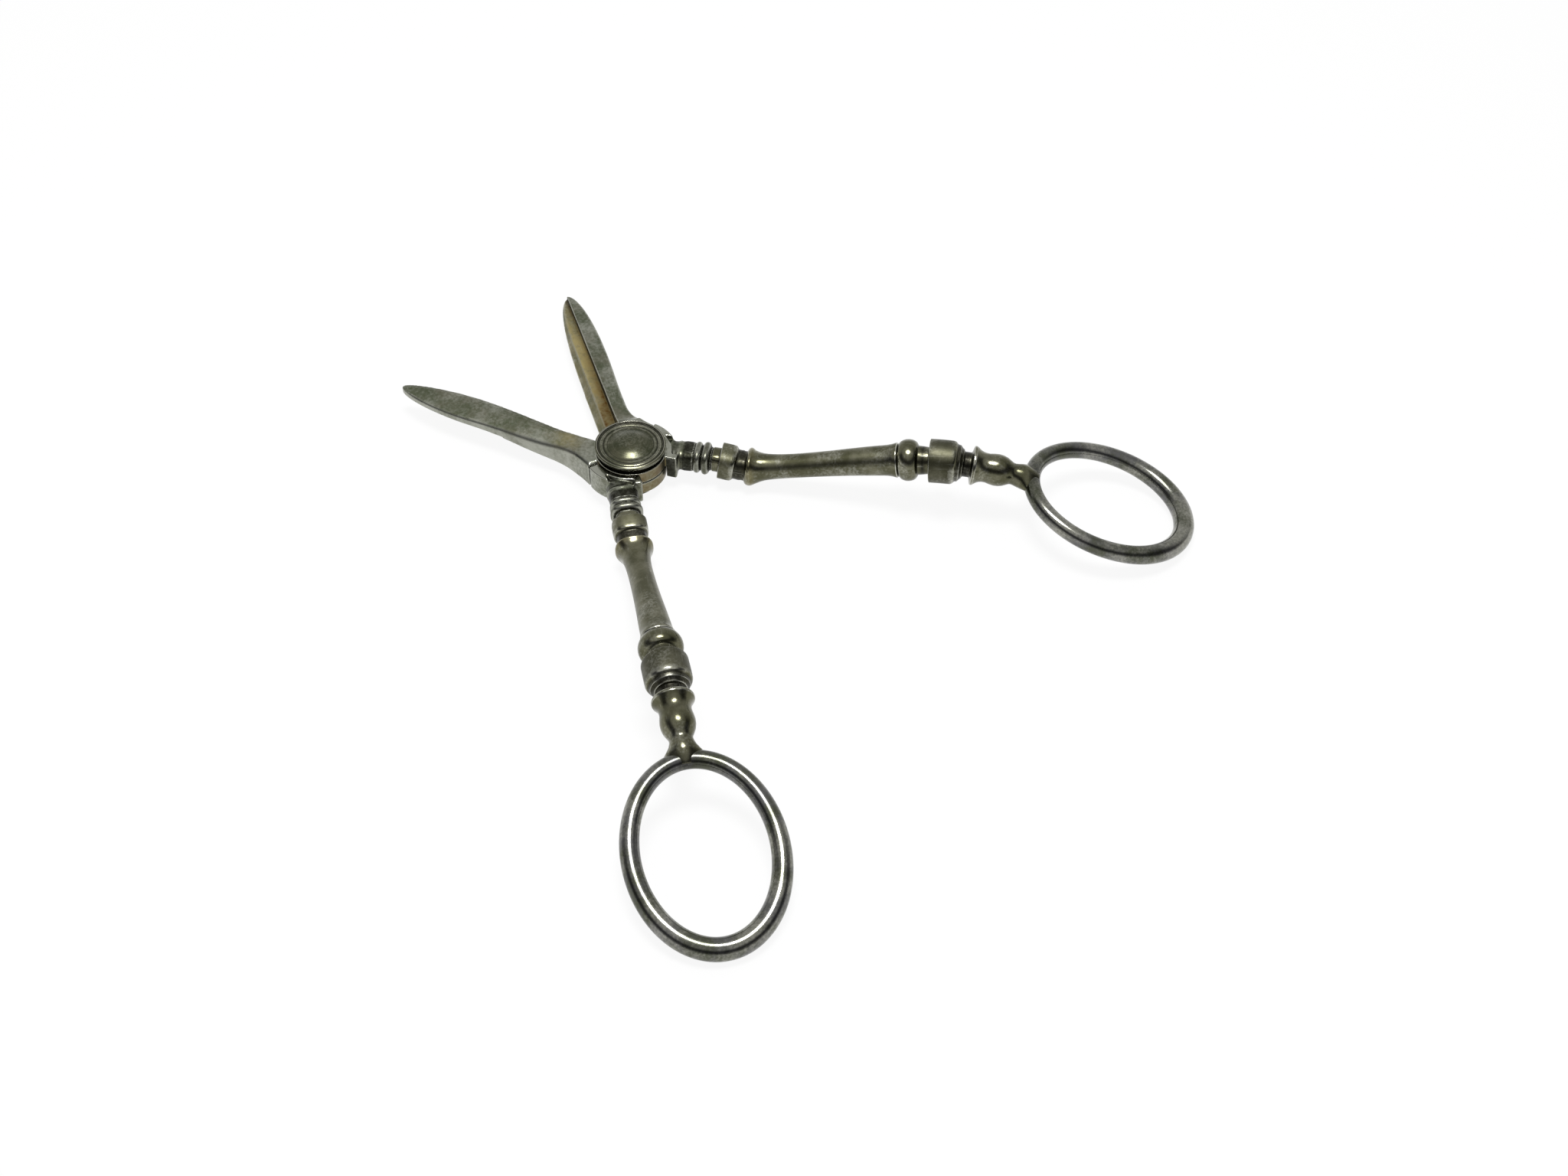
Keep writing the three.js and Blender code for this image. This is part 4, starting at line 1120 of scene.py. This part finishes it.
def spun(name, profile, soft, closed_ring=False):
    """Skin turned about the pivot from a profile of radius and height, in metres."""
    profile = softened(profile, soft, DISC_BEND)
    if not closed_ring:
        profile = profile[1:-1]
    theta = np.linspace(0, 2 * math.pi, DISC_ROUND, endpoint=False)
    r, z, theta = np.broadcast_arrays(*profile.T[..., None], theta)
    points = np.stack([r * np.cos(theta), r * np.sin(theta), z], axis=-1).reshape(-1, 3) * MM
    mesh = new_mesh(name, points, lathe(len(profile), DISC_ROUND, closed_ring))
    mesh.shade_smooth()
    # The profile's folds are darkened through the nook: dirt and painted shade.
    edge, nook = turned_notes(profile)
    note(mesh, "lay", np.stack([0 * r, r, z], axis=-1).reshape(-1, 3) * MM)
    note_rows(mesh, "edge", edge, DISC_ROUND)
    note_rows(mesh, "nook", nook, DISC_ROUND)
    return mesh


def washer(name, outer, low, thick):
    """Flat disc with a hole that clears the shank."""
    hole = SHANK_R + SEAT_GAP
    section = [(hole, low), (outer, low), (outer, low + thick), (hole, low + thick)]
    return spun(name, section, WASHER_SOFT, closed_ring=True)


WASHER_BRIGHT = (0.16, 0.15, 0.11, 1)
WASHER_BLACK = (0.05, 0.048, 0.036, 1)
washer_plate = turned_plate(
    "washer_plate", WASHER_BRIGHT, WASHER_BLACK, WASHER_BLACK, cover=0.8, smooth=0.32, dull=0.45
)
head_washer = washer("head_washer_disc", HEAD_WASHER_R, HEAD_WASHER_LOW, HEAD_WASHER_T)
rear_washer = washer("rear_washer_disc", REAR_WASHER_R, REAR_WASHER_LOW, REAR_WASHER_T)
show("head_washer_disc", head_washer, washer_plate, "lever_lower", "washers", "head_washer")
show("rear_washer_disc", rear_washer, washer_plate, "lever_lower", "washers", "rear_washer")

# Pivot screw
# A turned brass screw, plated, whose broad head caps the drum: a bevelled rim, a flat, three fine rings
# and a low dome. The shank runs down through both lap discs into the nut.
HEAD_R = 7.4
HEAD_UNDER_R = 6.95
HEAD_FLOOR = HEAD_WASHER_LOW + HEAD_WASHER_T + SEAT_GAP
HEAD_UNDERCUT = 0.45
RIM_R = 7.0
RIM_INNER_R = 6.92
RIM_TOP = HEAD_FLOOR + 1.1
RIM_BEVEL = 0.2
FLAT_R = 6.85
FLAT_INNER_R = 6.4
FLAT_TOP = HEAD_FLOOR + 0.85
DOME_R = 4.4
DOME_FULL = 2.6
DOME_FOOT = HEAD_FLOOR + 0.9
DOME_TOP = HEAD_FLOOR + 1.9
SHANK_END = 1.0
SCREW_SOFT = 0.07
# Each ring has its radius, half its width and how far it stands up.
RINGS = [(6.05, 0.36, 0.13), (5.1, 0.3, 0.07), (4.45, 0.26, 0.06)]


def dome_height(r):
    """Height of the head's top at a radius, without its rings: a flat, a gentle rise and a dome."""
    dome = DOME_FOOT + (DOME_TOP - DOME_FOOT) * (1 - (r / DOME_R) ** DOME_FULL)
    return np.where(r < DOME_R, dome, np.interp(r, [DOME_R, FLAT_INNER_R], [DOME_FOOT, FLAT_TOP]))


def head_profile():
    """Profile of the screw from its shank's end up round the rim and over the rings to the middle."""
    r = np.arange(FLAT_R - 0.1, 0, -0.05)
    height = dome_height(r)
    for middle, half, rise in RINGS:
        share = np.clip(1 - ((r - middle) / half) ** 2, 0, 1)
        height = height + rise * np.sqrt(share)
    top = np.stack([r, np.minimum(height, DOME_TOP)], axis=1)
    return np.vstack([
        [(0, SHANK_END), (SHANK_R, SHANK_END), (SHANK_R, HEAD_FLOOR), (HEAD_UNDER_R, HEAD_FLOOR)],
        [(HEAD_R, HEAD_FLOOR + HEAD_UNDERCUT), (HEAD_R, RIM_TOP - RIM_BEVEL)],
        [(RIM_R, RIM_TOP), (RIM_INNER_R, RIM_TOP), (FLAT_R, FLAT_TOP + 0.05)],
        top,
        [(0, DOME_TOP)],
    ])


SCREW_SILVER = (0.33, 0.325, 0.265, 1)
SCREW_FILM = (0.053, 0.059, 0.034, 1)
SCREW_BLOOM = (0.102, 0.101, 0.066, 1)
screw_plate = turned_plate(
    "screw_plate", SCREW_SILVER, SCREW_FILM, SCREW_BLOOM, cover=0.98, smooth=0.15, dull=0.25
)
screw = spun("pivot_cap", head_profile(), SCREW_SOFT)
show("pivot_cap", screw, screw_plate, "lever_lower", "pivot_screw", "pivot_screw")

# Nut
# A round brass nut, turned, chamfered and plated. It closes the screw underneath, and its flat face
# rests on the table.
NUT_R = 5.4
NUT_HEIGHT = REAR_WASHER_LOW - SEAT_GAP
NUT_FLOOR = 0.7
NUT_CHAMFER = 0.5
NUT_SOFT = 0.06
nut_profile = [
    (0, 0), (NUT_R - NUT_CHAMFER, 0), (NUT_R, NUT_CHAMFER), (NUT_R, NUT_HEIGHT),
    (BORE_R, NUT_HEIGHT), (BORE_R, NUT_FLOOR), (0, NUT_FLOOR),
]
nut = spun("round_nut", nut_profile, NUT_SOFT)
show("round_nut", nut, screw_plate, "lever_lower", "rear_nut", "rear_nut")

# Table
# A pale matt table top that the shears lie on. Its soft white shows to the camera and in the metal, and
# it keeps a faint shadow.
TABLE_SIZE = 40.0
TABLE_MATT = (0.95, 0.95, 0.95, 1)
TABLE_WHITE = (1, 1, 1, 1)
SHADOW_KEPT = 0.1
half = TABLE_SIZE / 2
table = bpy.data.objects.new("table", new_mesh(
    "table", [(-half, -half, 0), (half, -half, 0), (half, half, 0), (-half, half, 0)], [(0, 1, 2, 3)]
))
bpy.context.scene.collection.objects.link(table)
table_top = bpy.data.materials.new("table_top")
table_top.use_nodes = True
tree = table_top.node_tree
tree.nodes.clear()
matt = add(tree, "BsdfDiffuse", {"Color": TABLE_MATT})
white = add(tree, "Emission", {"Color": TABLE_WHITE, "Strength": 1.0})
ray = add(tree, "LightPath").outputs
seen = sum_of(tree, sum_of(tree, ray["Is Camera Ray"], ray["Is Glossy Ray"]), ray["Is Transmission Ray"])
whiteness = times(tree, seen, 1 - SHADOW_KEPT)
blend = add(tree, "MixShader", {0: whiteness, 1: matt.outputs[0], 2: white.outputs[0]})
tree.links.new(blend.outputs[0], tree.nodes.new("ShaderNodeOutputMaterial").inputs[0])
table.data.materials.append(table_top)

# Light
# One soft lamp hangs over the shears. The room is pale overhead, on the far side and low down, and dim
# where the camera stands.
LAMP_AT = (0.0, -0.03, 0.62)
LAMP_TURN = math.radians(-48.5)
LAMP_SIZE = (0.26, 0.19)
LAMP_POWER = 2.6
lamp_data = bpy.data.lights.new("lamp", "AREA")
lamp_data.shape = "ELLIPSE"
lamp_data.size, lamp_data.size_y = LAMP_SIZE
lamp_data.energy = LAMP_POWER
lamp = bpy.data.objects.new("lamp", lamp_data)
lamp.location = LAMP_AT
lamp.rotation_euler = (0, 0, LAMP_TURN)
bpy.context.scene.collection.objects.link(lamp)

CAMERA_SIDE = (-0.664, -0.747, 0.0)
ROOM_DIM = (0.08, 0.08, 0.09, 1)
ROOM_PALE = (0.72, 0.72, 0.71, 1)
ROOM_LOW = (0.96, 0.96, 0.96, 1)
world = bpy.data.worlds.new("room")
bpy.context.scene.world = world
world.use_nodes = True
tree = world.node_tree
tree.nodes.clear()
way = add(tree, "TexCoord").outputs["Generated"]
facing = add(tree, "VectorMath", {0: way, 1: CAMERA_SIDE}, operation="DOT_PRODUCT").outputs["Value"]
height = add(tree, "SeparateXYZ", {0: way}).outputs["Z"]
low_down = between(tree, height, 0.15, 0.4, 0.55, 0.0)
overhead = between(tree, height, 0.58, 0.82)
far = between(tree, facing, -0.65, 0.05, 1.0, 0.0)
pale = add(tree, "Math", {0: far, 1: sum_of(tree, low_down, overhead)}, operation="MAXIMUM").outputs[0]
room = mixed(tree, pale, ROOM_DIM, ROOM_PALE)
room = mixed(tree, between(tree, height, 0.06, 0.18, 1.0, 0.0), room, ROOM_LOW)
background = add(tree, "Background", {"Color": room, "Strength": 1.0})
tree.links.new(background.outputs[0], tree.nodes.new("ShaderNodeOutputWorld").inputs[0])

# Camera
# It stands beyond the bows and looks down on the shears as the photograph does. Its place, its
# directions and its lens were fitted to features of the two levers.
CAMERA_AT = (-182.577, -205.352, 265.769)
CAMERA_RIGHT = Vector((0.68253, -0.73046, 0.02423))
CAMERA_DOWN = Vector((-0.52771, -0.51548, -0.67513))
CAMERA_AHEAD = Vector((0.50565, 0.44801, -0.73730))
CAMERA_LENS = 41.62
camera_data = bpy.data.cameras.new("camera")
camera_data.lens = CAMERA_LENS
camera_data.sensor_width = 36.0
camera_data.clip_start = 0.01
camera = bpy.data.objects.new("camera", camera_data)
turn = Matrix((CAMERA_RIGHT, -CAMERA_DOWN, -CAMERA_AHEAD)).transposed()
camera.matrix_world = Matrix.Translation(Vector(CAMERA_AT) * MM) @ turn.to_4x4()
bpy.context.scene.collection.objects.link(camera)
bpy.context.scene.camera = camera
bpy.context.scene.view_settings.view_transform = "Standard"
